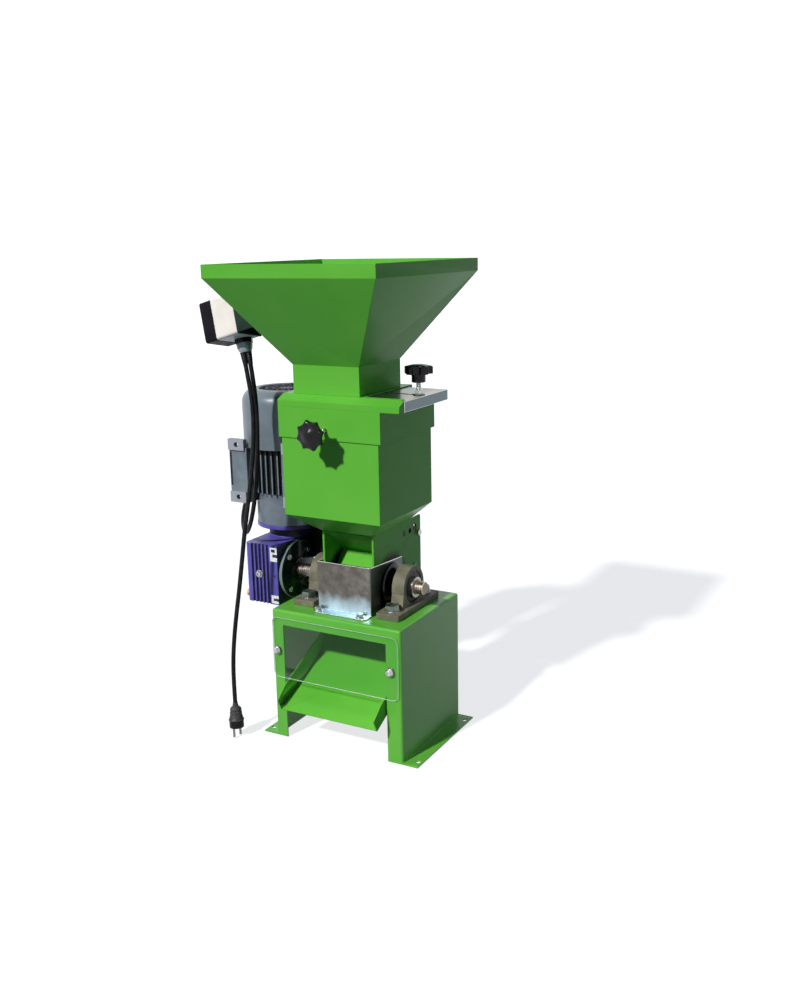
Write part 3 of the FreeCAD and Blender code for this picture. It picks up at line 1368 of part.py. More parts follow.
# Leads: straight runs joined by tangent arcs, and the plug
def lead_wire(points, label):
    """A smooth line through a list of points: runs joined by tangent arcs."""
    unit = sizes["lead_unit"]
    spots = [FreeCAD.Vector(*p) * unit for p in points]
    edges = []
    radii = []
    at = spots[0]
    for before, here, after in zip(spots, spots[1:], spots[2:]):
        into = (here - before)
        out = (after - here)
        short = min(into.Length, out.Length)
        into.normalize()
        out.normalize()
        turn = into.getAngle(out)
        back = sizes["arc_share"] * short
        radii.append(back / math.tan(turn / 2) / unit)
        start = here - into * back
        end = here + out * back
        toward = out - into
        toward.normalize()
        radius = radii[-1] * unit
        middle = here + toward * (radius / math.cos(turn / 2) - radius)
        edges.append(Part.LineSegment(at, start).toShape())
        edges.append(Part.Arc(start, middle, end).toShape())
        at = end
    edges.append(Part.LineSegment(at, spots[-1]).toShape())
    wire = Part.Wire(edges)
    print(label, "length", round(wire.Length / unit, 1), "radii", [round(r) for r in radii])
    return wire


def lead(label, points):
    wire = lead_wire(points, label)
    start = wire.Edges[0].firstVertex().Point
    way = wire.Edges[0].tangentAt(wire.Edges[0].FirstParameter)
    circle = Part.Wire([Part.Circle(start, way, sizes["cord_r"]).toShape()])
    pipe = Part.BRepOffsetAPI.MakePipeShell(wire)
    pipe.setFrenetMode(False)
    pipe.add(circle, False, False)
    pipe.build()
    pipe.makeSolid()
    solid = pipe.shape()
    expected = math.pi * sizes["cord_r"] ** 2 * wire.Length
    print(label, "volume share", round(solid.Volume / expected, 4))
    obj = doc.addObject("Part::Feature", fresh("lead"))
    obj.Shape = solid
    obj.Placement = FreeCAD.Placement()
    return node(label, obj)


mains_points = [
    (-197.345, -88.641, 740.099), (-187.121, -94.635, 706.106), (-170, -105.5, 651),
    (-167.8, -109.3, 589), (-172.2, -114.6, 527), (-179.6, -121.4, 465), (-187.9, -127, 408), (-194.4, -131, 352),
    (-200.6, -137.3, 292), (-208.4, -143.2, 232), (-214, -147.6, 176), (-214.8, -152, 124),
    (-210.2, -156.7, 69.4)]
motor_points = [
    (-189.477, -83.728, 741.6), (-179.253, -89.722, 707.607), (-175.5, -86, 645.8), (-172.5, -91.5, 585),
    (-173.9, -96, 526.7), (-178.5, -97.5, 482), (-189, -95, 443), (-208, -83, 406), (-236, -60, 381),
    (-266, -30, 386), (-285, -3, 405), (-296, 26, 430), (-304, 56, 466), (-309, 92, 492), (-307, 128.5, 503),
    (-284.5, 151, 504), (-258.5, 151, 504)]
lead("mains_cord", mains_points)
lead("motor_cord", motor_points)

plug_at = FreeCAD.Vector(*mains_points[-1])
drop = FreeCAD.Rotation(FreeCAD.Vector(0, 0, 1), plug_at - FreeCAD.Vector(*mains_points[-2]))
grip = body("plug_grip")
spin(grip, [("0", "0"), ("plug_neck_r*0.75", "0"), ("plug_neck_r", "plug_long*0.3"),
            ("plug_body_r", "plug_long*0.55"), ("plug_body_r", "plug_long"),
            ("0", "plug_long")])
soften(grip, lambda e: abs(e.BoundBox.ZMax - sizes["plug_long"] * 0.55) < 0.1, "plug_neck_r/2")
prongs = [rod("+z", "plug_pin_r", "plug_pin_long + plug_neck_r", x, "0",
              "plug_long - plug_neck_r") for x in ("-plug_pin_gap", "plug_pin_gap")]


def hang(obj):
    wrap = gather([obj] if not isinstance(obj, list) else obj)
    wrap.Placement.Rotation = drop
    unit = sizes["lead_unit"]
    wrap.Placement.Base = plug_at * unit
    return wrap


grip.Label = "plug_blank"
node("plug_grip", hang(cut(grip, *prongs)))
node("plug_pins", hang(prongs))

# Check every object, then write one STEP file per node
doc.recompute()
bad = [o.Label for o in doc.Objects if "Invalid" in o.State or "Error" in o.State]
for label, obj in nodes.items():
    shape = obj.Shape
    if shape.isNull() or not shape.isValid() or not shape.Solids:
        bad.append("shape " + label)
if bad:
    raise RuntimeError("bad objects: " + ", ".join(bad))
total = None
for label, obj in nodes.items():
    obj.Shape.exportStep("parts/" + label + ".step")
    bounds = obj.Shape.BoundBox
    print(f"{label:20s} {len(obj.Shape.Solids):3d} {obj.Shape.Volume:10.1f}"
          f" x {bounds.XMin:8.1f} {bounds.XMax:8.1f} y {bounds.YMin:8.1f} {bounds.YMax:8.1f}"
          f" z {bounds.ZMin:8.1f} {bounds.ZMax:8.1f}")
print(len(nodes), "nodes")
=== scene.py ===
# Walnut cracking machine: its looks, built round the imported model.
# +X right, +Y back, +Z up, in metres; the origin is on the floor between the four foot holes.
import json
import math

import bmesh
import bpy
from mathutils import Matrix, Vector

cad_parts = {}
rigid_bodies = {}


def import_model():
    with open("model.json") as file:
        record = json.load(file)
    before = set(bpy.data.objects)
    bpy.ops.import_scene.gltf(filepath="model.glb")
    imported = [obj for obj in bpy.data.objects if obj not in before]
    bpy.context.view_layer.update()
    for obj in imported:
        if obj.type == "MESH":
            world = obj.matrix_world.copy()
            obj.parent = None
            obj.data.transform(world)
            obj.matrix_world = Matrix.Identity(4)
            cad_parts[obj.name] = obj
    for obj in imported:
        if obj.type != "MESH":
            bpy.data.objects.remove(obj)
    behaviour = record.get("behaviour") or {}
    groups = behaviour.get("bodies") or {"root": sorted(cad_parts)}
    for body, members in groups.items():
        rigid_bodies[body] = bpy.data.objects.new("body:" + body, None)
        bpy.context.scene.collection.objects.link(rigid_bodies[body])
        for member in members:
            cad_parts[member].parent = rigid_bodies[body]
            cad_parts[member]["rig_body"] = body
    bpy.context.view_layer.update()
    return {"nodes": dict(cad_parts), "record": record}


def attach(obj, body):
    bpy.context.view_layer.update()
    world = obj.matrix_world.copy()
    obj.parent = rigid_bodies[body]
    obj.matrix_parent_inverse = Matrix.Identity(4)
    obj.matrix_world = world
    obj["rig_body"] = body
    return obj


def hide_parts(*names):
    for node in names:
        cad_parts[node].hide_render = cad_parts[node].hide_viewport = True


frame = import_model()
scene = bpy.context.scene
scene.view_settings.view_transform = "Standard"


# The camera stands in front of the machine and to its right, at the height of the hopper's rim.
# It looks 14 degrees down, and leans one degree.
EYE = Vector((1.01631, -1.68090, 0.94016))
LOOK = Vector((-0.47329, 0.84824, -0.23767))
RIGHT = Vector((0.87529, 0.48326, -0.01830))
UPWARD = Vector((-0.09934, 0.21669, 0.97117))
SENSOR_MM, LENS_MM = 36, 38.44
camera = bpy.data.objects.new("camera", bpy.data.cameras.new("camera"))
scene.collection.objects.link(camera)
camera.data.sensor_width = SENSOR_MM
camera.data.lens = LENS_MM
camera.matrix_world = Matrix.Translation(EYE) @ Matrix((RIGHT, UPWARD, -LOOK)).transposed().to_4x4()
scene.camera = camera


# The two leads are round PVC-sheathed cable, 8.4 mm thick, satin black with a bloom of dust.
# Both leave the switch box through one gland and hang side by side under their own weight.
MM = 0.001


def linear(hex_colour):
    """An sRGB hex colour as the linear numbers that a shader takes."""
    out = []
    for start in (1, 3, 5):
        share = int(hex_colour[start:start + 2], 16) / 255
        out.append(share / 12.92 if share <= 0.04045 else ((share + 0.055) / 1.055) ** 2.4)
    return (*out, 1.0)


def add(tree, kind, settings, inputs):
    """One node, with its settings, and with values or other nodes' sockets on its inputs."""
    made = tree.nodes.new(kind)
    for key, value in settings.items():
        setattr(made, key, value)
    for key, value in inputs.items():
        if isinstance(value, bpy.types.NodeSocket):
            tree.links.new(value, made.inputs[key])
        else:
            made.inputs[key].default_value = value
    return made


NOISE_LOW, NOISE_HIGH = 0.35, 0.65  # most of a noise texture's values lie between these


def finish(name, low, high, patch, rough, grain=None, **constants):
    """A material of two mottled colours in patches so many millimetres wide, between two
    roughnesses, with a grain whose width and height are given in millimetres. A real grain that is
    too fine to show, such as that of moulded plastic, is given as coarse as it needs to show."""
    material = bpy.data.materials.new(name)
    material.use_nodes = True
    tree = material.node_tree
    tree.nodes.clear()
    place = add(tree, "ShaderNodeTexCoord", {}, {}).outputs["Object"]
    mottle = add(tree, "ShaderNodeTexNoise", {}, {
        "Vector": place, "Scale": 1 / (patch * MM), "Detail": 3.0}).outputs["Fac"]
    between = {"Value": mottle, "From Min": NOISE_LOW, "From Max": NOISE_HIGH}
    spread = add(tree, "ShaderNodeMapRange", {}, between)
    colour = add(tree, "ShaderNodeMix", {"data_type": "RGBA"}, {
        0: spread.outputs[0], 6: linear(low), 7: linear(high)})
    gloss = add(tree, "ShaderNodeMapRange", {}, {**between, "To Min": rough[0], "To Max": rough[1]})
    shader = add(tree, "ShaderNodeBsdfPrincipled", {}, {
        "Base Color": colour.outputs[2], "Roughness": gloss.outputs[0],
        **{key.replace("_", " "): value for key, value in constants.items()}})
    if grain:
        bumps = add(tree, "ShaderNodeTexNoise", {}, {
            "Vector": place, "Scale": 1 / (grain[0] * MM), "Detail": 2.0})
        standing = add(tree, "ShaderNodeBump", {}, {
            "Height": bumps.outputs["Fac"], "Distance": grain[1] * MM, "Strength": 1.0})
        tree.links.new(standing.outputs[0], shader.inputs["Normal"])
    out = add(tree, "ShaderNodeOutputMaterial", {}, {"Surface": shader.outputs[0]})
    out.is_active_output = True
    return material, tree, shader, place


def overlay(tree, shader, value, start, end, colour, roughness):
    """Lets another colour and roughness in, from none where a value is at start to all at end."""
    share = add(tree, "ShaderNodeMapRange", {}, {
        "Value": value, "From Min": start, "From Max": end}).outputs[0]
    tint = add(tree, "ShaderNodeMix", {"data_type": "RGBA"}, {
        0: share, 6: shader.inputs["Base Color"].links[0].from_socket, 7: linear(colour)})
    tree.links.new(tint.outputs[2], shader.inputs["Base Color"])
    gloss = add(tree, "ShaderNodeMix", {"data_type": "FLOAT"}, {
        0: share, 2: shader.inputs["Roughness"].links[0].from_socket, 3: roughness})
    tree.links.new(gloss.outputs[0], shader.inputs["Roughness"])


pvc_sheath, tree, shader, place = finish(
    "pvc_sheath_extruded", "#121115", "#1B191B", 40, (0.3, 0.44), (3, 0.2),
    IOR=1.52, Specular_IOR_Level=0.12)
DUST_PATCH = 9
dust = add(tree, "ShaderNodeTexNoise", {}, {"Vector": place, "Scale": 1 / (DUST_PATCH * MM), "Detail": 4.0})
overlay(tree, shader, dust.outputs["Fac"], 0.5, 0.8, "#2E2B29", 0.6)

CORD_RADIUS = 4.2 * MM
MAINS_ROUTE = [Vector(point) * MM for point in (
    (-197.345, -88.641, 740.099), (-187.121, -94.635, 706.106), (-178.5, -94, 651),
    (-177.2, -96.8, 589), (-181.5, -102.3, 527), (-183.4, -116.4, 465), (-187.9, -127, 408),
    (-194.4, -131, 352), (-200.6, -137.3, 292), (-208.4, -143.2, 232), (-214, -147.6, 176),
    (-214.8, -152, 124), (-210.2, -156.7, 69.4))]
MOTOR_ROUTE = [Vector(point) * MM for point in (
    (-189.477, -83.728, 741.6), (-179.253, -89.722, 707.607), (-184.5, -74.5, 645.8), (-182, -79, 585),
    (-183.2, -83.6, 526.7), (-183.5, -91, 482), (-189, -95, 443), (-208, -83, 406), (-236, -60, 381),
    (-266, -30, 386), (-285, -3, 405), (-296, 26, 430), (-304, 56, 466), (-309, 92, 492),
    (-307, 128.5, 503), (-284.5, 151, 504), (-258.5, 151, 504))]


def lead(name, node, route):
    """A cable whose middle line is a smooth spline drawn by the route's points."""
    curve = bpy.data.curves.new(name, "CURVE")
    curve.dimensions = "3D"
    spline = curve.splines.new("NURBS")
    spline.points.add(len(route) - 1)
    for point, at in zip(spline.points, route):
        point.co = (*at, 1)
    spline.order_u = 3
    spline.use_endpoint_u = True
    spline.resolution_u = 10
    curve.bevel_depth = CORD_RADIUS
    curve.bevel_resolution = 5
    curve.use_fill_caps = True
    curve.materials.append(pvc_sheath)
    piece = bpy.data.objects.new(name, curve)
    scene.collection.objects.link(piece)
    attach(piece, "frame")
    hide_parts(node)
    return piece


mains_lead = lead("mains_lead", "mains_cord", MAINS_ROUTE)
motor_lead = lead("motor_lead", "motor_cord", MOTOR_ROUTE)


# The plug is moulded onto the mains lead in PVC: a short neck, a dusty grip that flares to a rim, and
# a straight black collar. Its two round pins are turned from brass and nickel-plated.
def settle(piece, body, slot, *replaced):
    """Ties a finished piece to its body and to the nodes that it stands for; its slot is not used."""
    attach(piece, body)
    if replaced:
        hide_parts(*replaced)
    return piece


def shown(name, mesh, *materials):
    """Puts a mesh in the scene as an object at the origin."""
    piece = bpy.data.objects.new(name, mesh)
    scene.collection.objects.link(piece)
    for material in materials:
        mesh.materials.append(material)
    return piece


def bridged(bm, rings, steps, material=0):
    """Joins each ring of points, or single point, to the next with faces."""
    for low, high in zip(rings, rings[1:]):
        for i in range(steps):
            j = (i + 1) % steps
            corners = [low[i % len(low)], low[j % len(low)], high[j % len(high)], high[i % len(high)]]
            bm.faces.new(dict.fromkeys(corners)).material_index = material


def turned(bm, outline, start, way, steps, material=0):
    """Turns an outline of (radius, height) in millimetres about a line from start, in metres."""
    turn = Vector(way).normalized().to_track_quat("Z", "Y").to_matrix().to_4x4()
    place_at = Matrix.Translation(start) @ turn
    rings = []
    for radius, height in outline:
        if radius == 0:
            rings.append([bm.verts.new(place_at @ Vector((0, 0, height * MM)))])
            continue
        rings.append([bm.verts.new(place_at @ Vector((
            radius * MM * math.cos(2 * math.pi * i / steps),
            radius * MM * math.sin(2 * math.pi * i / steps), height * MM))) for i in range(steps)])
    bridged(bm, rings, steps, material)
    return bm


SAME_PLACE = 0.0005 * MM


def mesh_of(bm, name, smooth_below=35):
    """Closes a bmesh into a mesh, smooth where faces meet below an angle in degrees."""
    bmesh.ops.remove_doubles(bm, verts=bm.verts, dist=SAME_PLACE)
    bmesh.ops.recalc_face_normals(bm, faces=bm.faces)
    mesh = bpy.data.meshes.new(name)
    bm.to_mesh(mesh)
    bm.free()
    mesh.polygons.foreach_set("use_smooth", [True] * len(mesh.polygons))
    mesh.set_sharp_from_angle(angle=math.radians(smooth_below))
    return mesh


moulded_pvc, *_ = finish(
    "plug_pvc_moulded", "#332F2F", "#4A4544", 8, (0.4, 0.55), (1.2, 0.05),
    IOR=1.52, Specular_IOR_Level=0.25)
PLUG_AT, PLUG_WAY, PLUG_STEPS = MAINS_ROUTE[-1], MAINS_ROUTE[-1] - MAINS_ROUTE[-2], 56
PLUG_GRIP = [
    (0, 0), (4.6, 0), (5.0, 1.5), (5.0, 4.2), (5.7, 4.8), (5.9, 7.6), (9.2, 9.6), (10.9, 12.0), (11.4, 15.5),
    (10.9, 16.8), (11.1, 18.2), (11.8, 19.2), (12.0, 22.2), (11.6, 23.2), (12.0, 24.8), (12.6, 26.6),
    (13.2, 29.8), (14.1, 32.4), (15.0, 33.4), (15.3, 34.4), (15.0, 35.4), (0, 35.6)]
PLUG_COLLAR = [(0, 34.4), (14.1, 34.4), (14.1, 48.6), (13.7, 49.9), (13.0, 50.4), (0, 50.4)]
bm = turned(bmesh.new(), PLUG_GRIP, PLUG_AT, PLUG_WAY, PLUG_STEPS)
turned(bm, PLUG_COLLAR, PLUG_AT, PLUG_WAY, PLUG_STEPS, 1)
plug_body = settle(shown("plug_body", mesh_of(bm, "plug_body"), moulded_pvc, pvc_sheath),
                   "frame", "black", "plug_grip")

plated_pins, *_ = finish(
    "nickel_plated_pins", "#66655F", "#8E8D86", 4, (0.22, 0.36), Metallic=1.0)


def dress(node, material):
    """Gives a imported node, whose shape stays as it is, its finish."""
    frame["nodes"][node].data.materials.clear()
    frame["nodes"][node].data.materials.append(material)


slot_of = {part["node"]: part["material_slot"] for part in frame["record"]["subparts"]}
dress("plug_pins", plated_pins)


# Two cable glands: black nylon nuts with grey domes that taper onto rubber boots. The large one
# under the switch box holds both leads, the small one at the terminal box holds the motor's.
nylon_black, *_ = finish(
    "gland_nylon_moulded", "#141216", "#1E1B1F", 12, (0.3, 0.42), (0.9, 0.02),
    IOR=1.53, Specular_IOR_Level=0.15)
dome_grey, *_ = finish(
    "gland_dome_grey", "#8E989C", "#A2ABAE", 9, (0.22, 0.3), (2, 0.03), IOR=1.53)
GLAND_AT = Vector((-200.796, -81.856, 765.4)) * MM
GLAND_WAY = Vector((0.28402, -0.16650, -0.94425))
GLAND_NUT = [(0, 0), (17.0, 0), (18.0, 1.2), (18.0, 7.8), (17.0, 9.0), (15.2, 9.0), (0, 9.0)]
GLAND_DOME = [(0, 8.8), (15.0, 8.8), (15.0, 10.6), (14.8, 13.5), (14.0, 17.5), (12.6, 21.5),
              (11.0, 24.6), (10.0, 26.0), (0, 26.0)]
TERMINAL_AT, TERMINAL_WAY = Vector((-238.5, 151, 504)) * MM, (-1, 0, 0)
TERMINAL_NUT = [(0, 0), (9.4, 0), (10.0, 0.8), (10.0, 6.2), (9.4, 7.0), (0, 7.0)]
TERMINAL_DOME = [(0, 6.9), (8.0, 6.9), (8.0, 8.5), (7.6, 13.0), (6.6, 17.5), (6.0, 20.0), (0, 20.0)]
HEXAGON = 6
bm = bmesh.new()
turned(bm, GLAND_NUT, GLAND_AT, GLAND_WAY, HEXAGON)
turned(bm, GLAND_DOME, GLAND_AT, GLAND_WAY, 48, 1)
turned(bm, TERMINAL_NUT, TERMINAL_AT, TERMINAL_WAY, HEXAGON)
turned(bm, TERMINAL_DOME, TERMINAL_AT, TERMINAL_WAY, 40, 1)
settle(shown("cable_gland_pair", mesh_of(bm, "cable_gland_pair"), nylon_black, dome_grey),
       "frame", "black", "cable_glands")

BOOT = [(0, -3.0), (6.3, -3.0), (6.3, 1.0), (5.9, 1.6), (5.9, 3.2), (6.1, 3.8), (6.1, 5.6), (5.6, 6.2),
        (5.5, 7.8), (5.8, 8.4), (5.8, 10.2), (5.3, 10.8), (5.2, 12.4), (5.4, 13.0), (5.4, 14.8),
        (4.9, 15.4), (4.6, 21.0), (4.3, 24.0), (0, 24.0)]
bm = bmesh.new()
for start, onward in ((MAINS_ROUTE[0], MAINS_ROUTE[1]), (MOTOR_ROUTE[0], MOTOR_ROUTE[1]),
                      (MOTOR_ROUTE[-1], MOTOR_ROUTE[-2])):
    turned(bm, BOOT, start, onward - start, 32)
settle(shown("lead_boots", mesh_of(bm, "lead_boots"), pvc_sheath), "frame", "rubber")


# The base is one 3 mm steel sheet bent into a bench with feet, and welded to its front and back
# frames. It is sprayed with bright green powder and baked: a glossy coat with a shallow ripple, drawn
# 7 mm wide so that it shows.
def applied(piece):
    """Turns what a piece's modifiers make into its plain mesh, and takes the modifiers off."""
    solid = bpy.data.meshes.new_from_object(piece.evaluated_get(bpy.context.evaluated_depsgraph_get()))
    piece.modifiers.clear()
    piece.data = solid
    return solid


SHARP = math.radians(30)


def broken_edges(node, radius, material, steps=2, edges=None):
    """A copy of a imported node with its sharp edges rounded; the rounded strips may have a finish of
    their own."""
    mesh = frame["nodes"][node].data.copy()
    mesh.name = f"{node}_shell"
    bm = bmesh.new()
    bm.from_mesh(mesh)
    bmesh.ops.remove_doubles(bm, verts=bm.verts, dist=4 * SAME_PLACE)
    bm.to_mesh(mesh)
    bm.free()
    mesh.materials.clear()
    piece = shown(f"{node}_shell", mesh, material)
    mesh.polygons.foreach_set("use_smooth", [True] * len(mesh.polygons))
    mesh.set_sharp_from_angle(angle=SHARP)
    bevel = piece.modifiers.new("broken_edge", "BEVEL")
    bevel.width = radius * MM
    bevel.segments = steps
    bevel.limit_method = "ANGLE"
    bevel.angle_limit = SHARP
    bevel.use_clamp_overlap = False
    bevel.loop_slide = False
    bevel.harden_normals = True
    if edges:
        mesh.materials.append(edges)
        bevel.material = 1
    applied(piece).name = f"{node}_shell"
    return settle(piece, frame["nodes"][node]["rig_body"], slot_of[node], node)


glossy_powder, *_ = finish(
    "green_powder_coat_glossy", "#59B035", "#63B53B", 140, (0.3, 0.36), (7, 0.02),
    IOR=1.45, Specular_IOR_Level=0.4)
broken_edges("base_frame", 0.7, glossy_powder)


# The discharge chute is a 2 mm sheet tray, folded at both sides, that slopes to the front between
# the legs. A round rod across the frame carries its middle; the same powder, baked to less gloss.
green_powder, *_ = finish(
    "green_powder_coat_satin", "#5BB236", "#65B73D", 140, (0.3, 0.36), (7, 0.02),
    IOR=1.45, Specular_IOR_Level=0.1)
broken_edges("discharge_chute", 0.5, green_powder)
broken_edges("chute_rod", 0.4, green_powder)


# Two 4 mm cheeks stand on the base on either side of the drum and carry the jaw. A bent spout plate
# between them leads the nuts onto the drum. All are powder-coated; painted shade darkens the cheeks
# round the shaft and round their holes.
def off_line(tree, place, across, centre):
    """How far the surface lies from a line through a centre in millimetres; across is 1 on the two
    axes that the distance is measured along and 0 on the line's own."""
    flat = add(tree, "ShaderNodeVectorMath", {"operation": "MULTIPLY"}, {0: place, 1: across}).outputs[0]
    return add(tree, "ShaderNodeVectorMath", {"operation": "DISTANCE"}, {
        0: flat, 1: Vector(centre) * MM}).outputs["Value"]


SHAFT_HIGH = 304
SIDEWAYS = (0.0, 1.0, 1.0)
SHADE_RING_OUT, SHADE_RING_IN = 66, 52
shaded_cheek_paint, tree, shader, place = finish(
    "green_powder_with_painted_shade", "#59B035", "#63B53B", 140, (0.3, 0.36), (7, 0.02), IOR=1.45,
    Specular_IOR_Level=0.1)
radius = off_line(tree, place, SIDEWAYS, (0, 0, SHAFT_HIGH))
# Painted shade: a dark ring round the shaft on both cheeks.
overlay(tree, shader, radius, SHADE_RING_OUT * MM, SHADE_RING_IN * MM, "#0D100E", 0.45)
# Painted shade: dark rings round the cheeks' holes.
for y, z, dark in ((55.2, 387.8, 6.4), (78.7, 387.9, 6.4), (98.5, 388.3, 8.0)):
    near = off_line(tree, place, SIDEWAYS, (0, y, z))
    overlay(tree, shader, near, dark * MM, (dark - 1.2) * MM, "#0C1612", 0.5)
broken_edges("left_cheek", 0.6, shaded_cheek_paint)
broken_edges("right_cheek", 0.6, shaded_cheek_paint)
broken_edges("spout_plate", 0.4, green_powder)


# The feed box hangs under the gate: a 2 mm sheet box with a sloping floor and a folded sleeve on
# top that clamps it to the gate guide with the front knob. Powder-coated green.
broken_edges("feed_box", 0.5, green_powder)
broken_edges("lid_sleeve", 0.5, green_powder)
broken_edges("gate_guide", 0.5, green_powder)


# The hopper is an upright rim on a square funnel and neck, bent from 2 mm sheet and welded along
# its corners. It is powder-coated inside and out, in the satin green of the box below.
broken_edges("hopper", 0.5, green_powder)


# Two brackets bent from sheet: the one that holds the switch box under the hopper is drawn in a dark
# green that is painted shade, the thick one that bolts the gearbox to the base's side is coated like the
# base.
# The switch bracket's dark green is painted shade for the shadow it stands in.
bracket_green_painted_shade, *_ = finish(
    "green_spray_with_painted_shade", "#13261D", "#1C3428", 60, (0.34, 0.44), (5, 0.03),
    IOR=1.45, Specular_IOR_Level=0.15)
broken_edges("switch_bracket", 0.5, bracket_green_painted_shade)
broken_edges("gearbox_bracket", 0.6, green_powder)


# The shield is a sheet of clear cast acrylic, sawn to size: polished faces that mirror only a little,
# and frosted, pale edges. Two screws with spacers hold it off the front, and light passes through it
# to the chute.
clear_acrylic, tree, *_ = finish(
    "clear_acrylic_sheet", "#F6FCF5", "#FBFEFA", 120, (0.02, 0.05), IOR=1.49)
clear = add(tree, "ShaderNodeBsdfTransparent", {}, {"Color": linear("#F7FBF6")})
film = add(tree, "ShaderNodeBsdfGlossy", {}, {"Roughness": 0.03})
skin = add(tree, "ShaderNodeFresnel", {}, {"IOR": 1.2})
sheet = add(tree, "ShaderNodeMixShader", {}, {
    0: skin.outputs[0], 1: clear.outputs[0], 2: film.outputs[0]})
surface = next(node for node in tree.nodes if node.type == "OUTPUT_MATERIAL").inputs["Surface"]
tree.links.new(sheet.outputs[0], surface)
sawn_acrylic, *_ = finish(
    "sawn_acrylic_edge", "#B9CDB4", "#D9E6D4", 4, (0.2, 0.4), (1.5, 0.03), IOR=1.49)
broken_edges("front_shield", 0.5, clear_acrylic, edges=sawn_acrylic)


# The jaw guard and the slide gate are bare zinc-plated sheet. The guard is grey with a brown cast above,
# a painted reflection of the floor, a pale blue painted highlight near its foot and painted shade on its
# right side. The gate has painted shade towards the neck and a painted blue-grey reflection of shade on
# its folded flange. Both carry painted highlights along bends and edges.
# The guard's brown-grey colour is a painted reflection of the floor.
zinc_sheet, tree, shader, place = finish(
    "zinc_plated_sheet", "#5C5854", "#6B6863", 16, (0.3, 0.42), (1.5, 0.01), Metallic=1.0)
x, _, z = add(tree, "ShaderNodeSeparateXYZ", {}, {0: place}).outputs
STREAK, STREAK_RISE, HIGHLIGHT_STARTS, HIGHLIGHT_FULL, SHADED_SIDE_AT = 22, 34, 316, 276, 56.8
stretched = add(tree, "ShaderNodeVectorMath", {"operation": "MULTIPLY"}, {0: place, 1: (1.0, 1.0, 0.6)})
streaks = add(tree, "ShaderNodeTexNoise", {}, {
    "Vector": stretched.outputs[0], "Scale": 1 / (STREAK * MM), "Detail": 3.0}).outputs["Fac"]
wavy = add(tree, "ShaderNodeMath", {"operation": "MULTIPLY_ADD"}, {0: streaks, 1: STREAK_RISE * MM, 2: z})
# Painted highlight: pale blue and streaky, low on the guard.
overlay(tree, shader, wavy.outputs[0], HIGHLIGHT_STARTS * MM, HIGHLIGHT_FULL * MM, "#C8E8F4", 0.22)
# Painted shade on the guard's right side.
overlay(tree, shader, x, SHADED_SIDE_AT * MM, (SHADED_SIDE_AT + 0.5) * MM, "#505B55", 0.35)
# Painted highlight on the rounded bends and edges of the guard and gate.
bright_edge, *_ = finish(
    "zinc_bend_painted_highlight", "#D9DEDF", "#F0F3F3", 5, (0.15, 0.3), Metallic=1.0)
broken_edges("jaw_guard", 0.85, zinc_sheet, edges=bright_edge)

gate_zinc, tree, shader, place = finish(
    "zinc_plated_gate", "#A89B8B", "#BDB09E", 30, (0.28, 0.4), (1.5, 0.01), Metallic=1.0)
GATE_SHADE_STARTS, GATE_SHADE_FULL, GATE_FLANGE = 139, 122, 147.2
across = add(tree, "ShaderNodeSeparateXYZ", {}, {0: place}).outputs[0]
# Painted shade on the gate towards the neck.
overlay(tree, shader, across, GATE_SHADE_STARTS * MM, GATE_SHADE_FULL * MM, "#6F7A6A", 0.3)
# Painted reflection of shade: blue-grey on the folded flange.
overlay(tree, shader, across, GATE_FLANGE * MM, (GATE_FLANGE + 0.4) * MM, "#5F6C70", 0.38)
broken_edges("gate_plate", 0.6, gate_zinc, edges=bright_edge)


# Screws, nuts, washers and studs are zinc-plated steel that glints at its edges: hexagon heads on the
# blocks, cheeks and motor, small heads on the shield and chute, two knob studs with rolled threads.
zinc_fastener, *_ = finish(
    "zinc_plated_fasteners", "#9DA09F", "#CBCDCC", 5, (0.22, 0.36), (1, 0.01), Metallic=1.0)
for node, radius in (("shield_screws", 0.5), ("washers", 0.3), ("block_nuts", 0.6),
                     ("middle_screws", 0.4), ("middle_nuts", 0.4), ("small_screws", 0.4),
                     ("small_nuts", 0.4), ("gate_stud", 0.4), ("front_stud", 0.4)):
    broken_edges(node, radius, zinc_fastener)

UP = (0, 0, 1)
BLOCK_OUT, BLOCK_BOLT_OUT, BLOCK_BOLT_SEAT = 92, 61.5, 275.4
BOLT_HEAD = [(0, 0), (13.2, 0), (14.2, 0.8), (14.2, 9.6), (12.6, 11.0), (10.4, 11.4), (10.0, 11.0), (0, 11.0)]
BOLT_SHANK = [(0, -26.0), (6.9, -26.0), (6.9, 0.4), (0, 0.4)]
bm = bmesh.new()
for side in (-BLOCK_OUT, BLOCK_OUT):
    for foot in (-BLOCK_BOLT_OUT, BLOCK_BOLT_OUT):
        seat = Vector((side, foot, BLOCK_BOLT_SEAT)) * MM
        turned(bm, BOLT_HEAD, seat, UP, HEXAGON)
        turned(bm, BOLT_SHANK, seat, UP, 24)
dull_zinc, *_ = finish(
    "zinc_dulled_on_large_bolts", "#636D69", "#87918C", 9, (0.3, 0.44), (1.5, 0.02), Metallic=1.0)
settle(shown("block_bolt_heads", mesh_of(bm, "block_bolt_heads"), dull_zinc),
       "frame", "zinc", "block_bolts")


def repeat_tree(name, *inputs):
    """An empty geometry tree with named number inputs, and the sockets that give them."""
    group = bpy.data.node_groups.new(name, "GeometryNodeTree")
    group.is_modifier = True
    for label, kind in (("Geometry", "NodeSocketGeometry"), *inputs):
        group.interface.new_socket(label, in_out="INPUT", socket_type=kind)
    group.interface.new_socket("Geometry", in_out="OUTPUT", socket_type="NodeSocketGeometry")
    return group, add(group, "NodeGroupInput", {}, {}).outputs


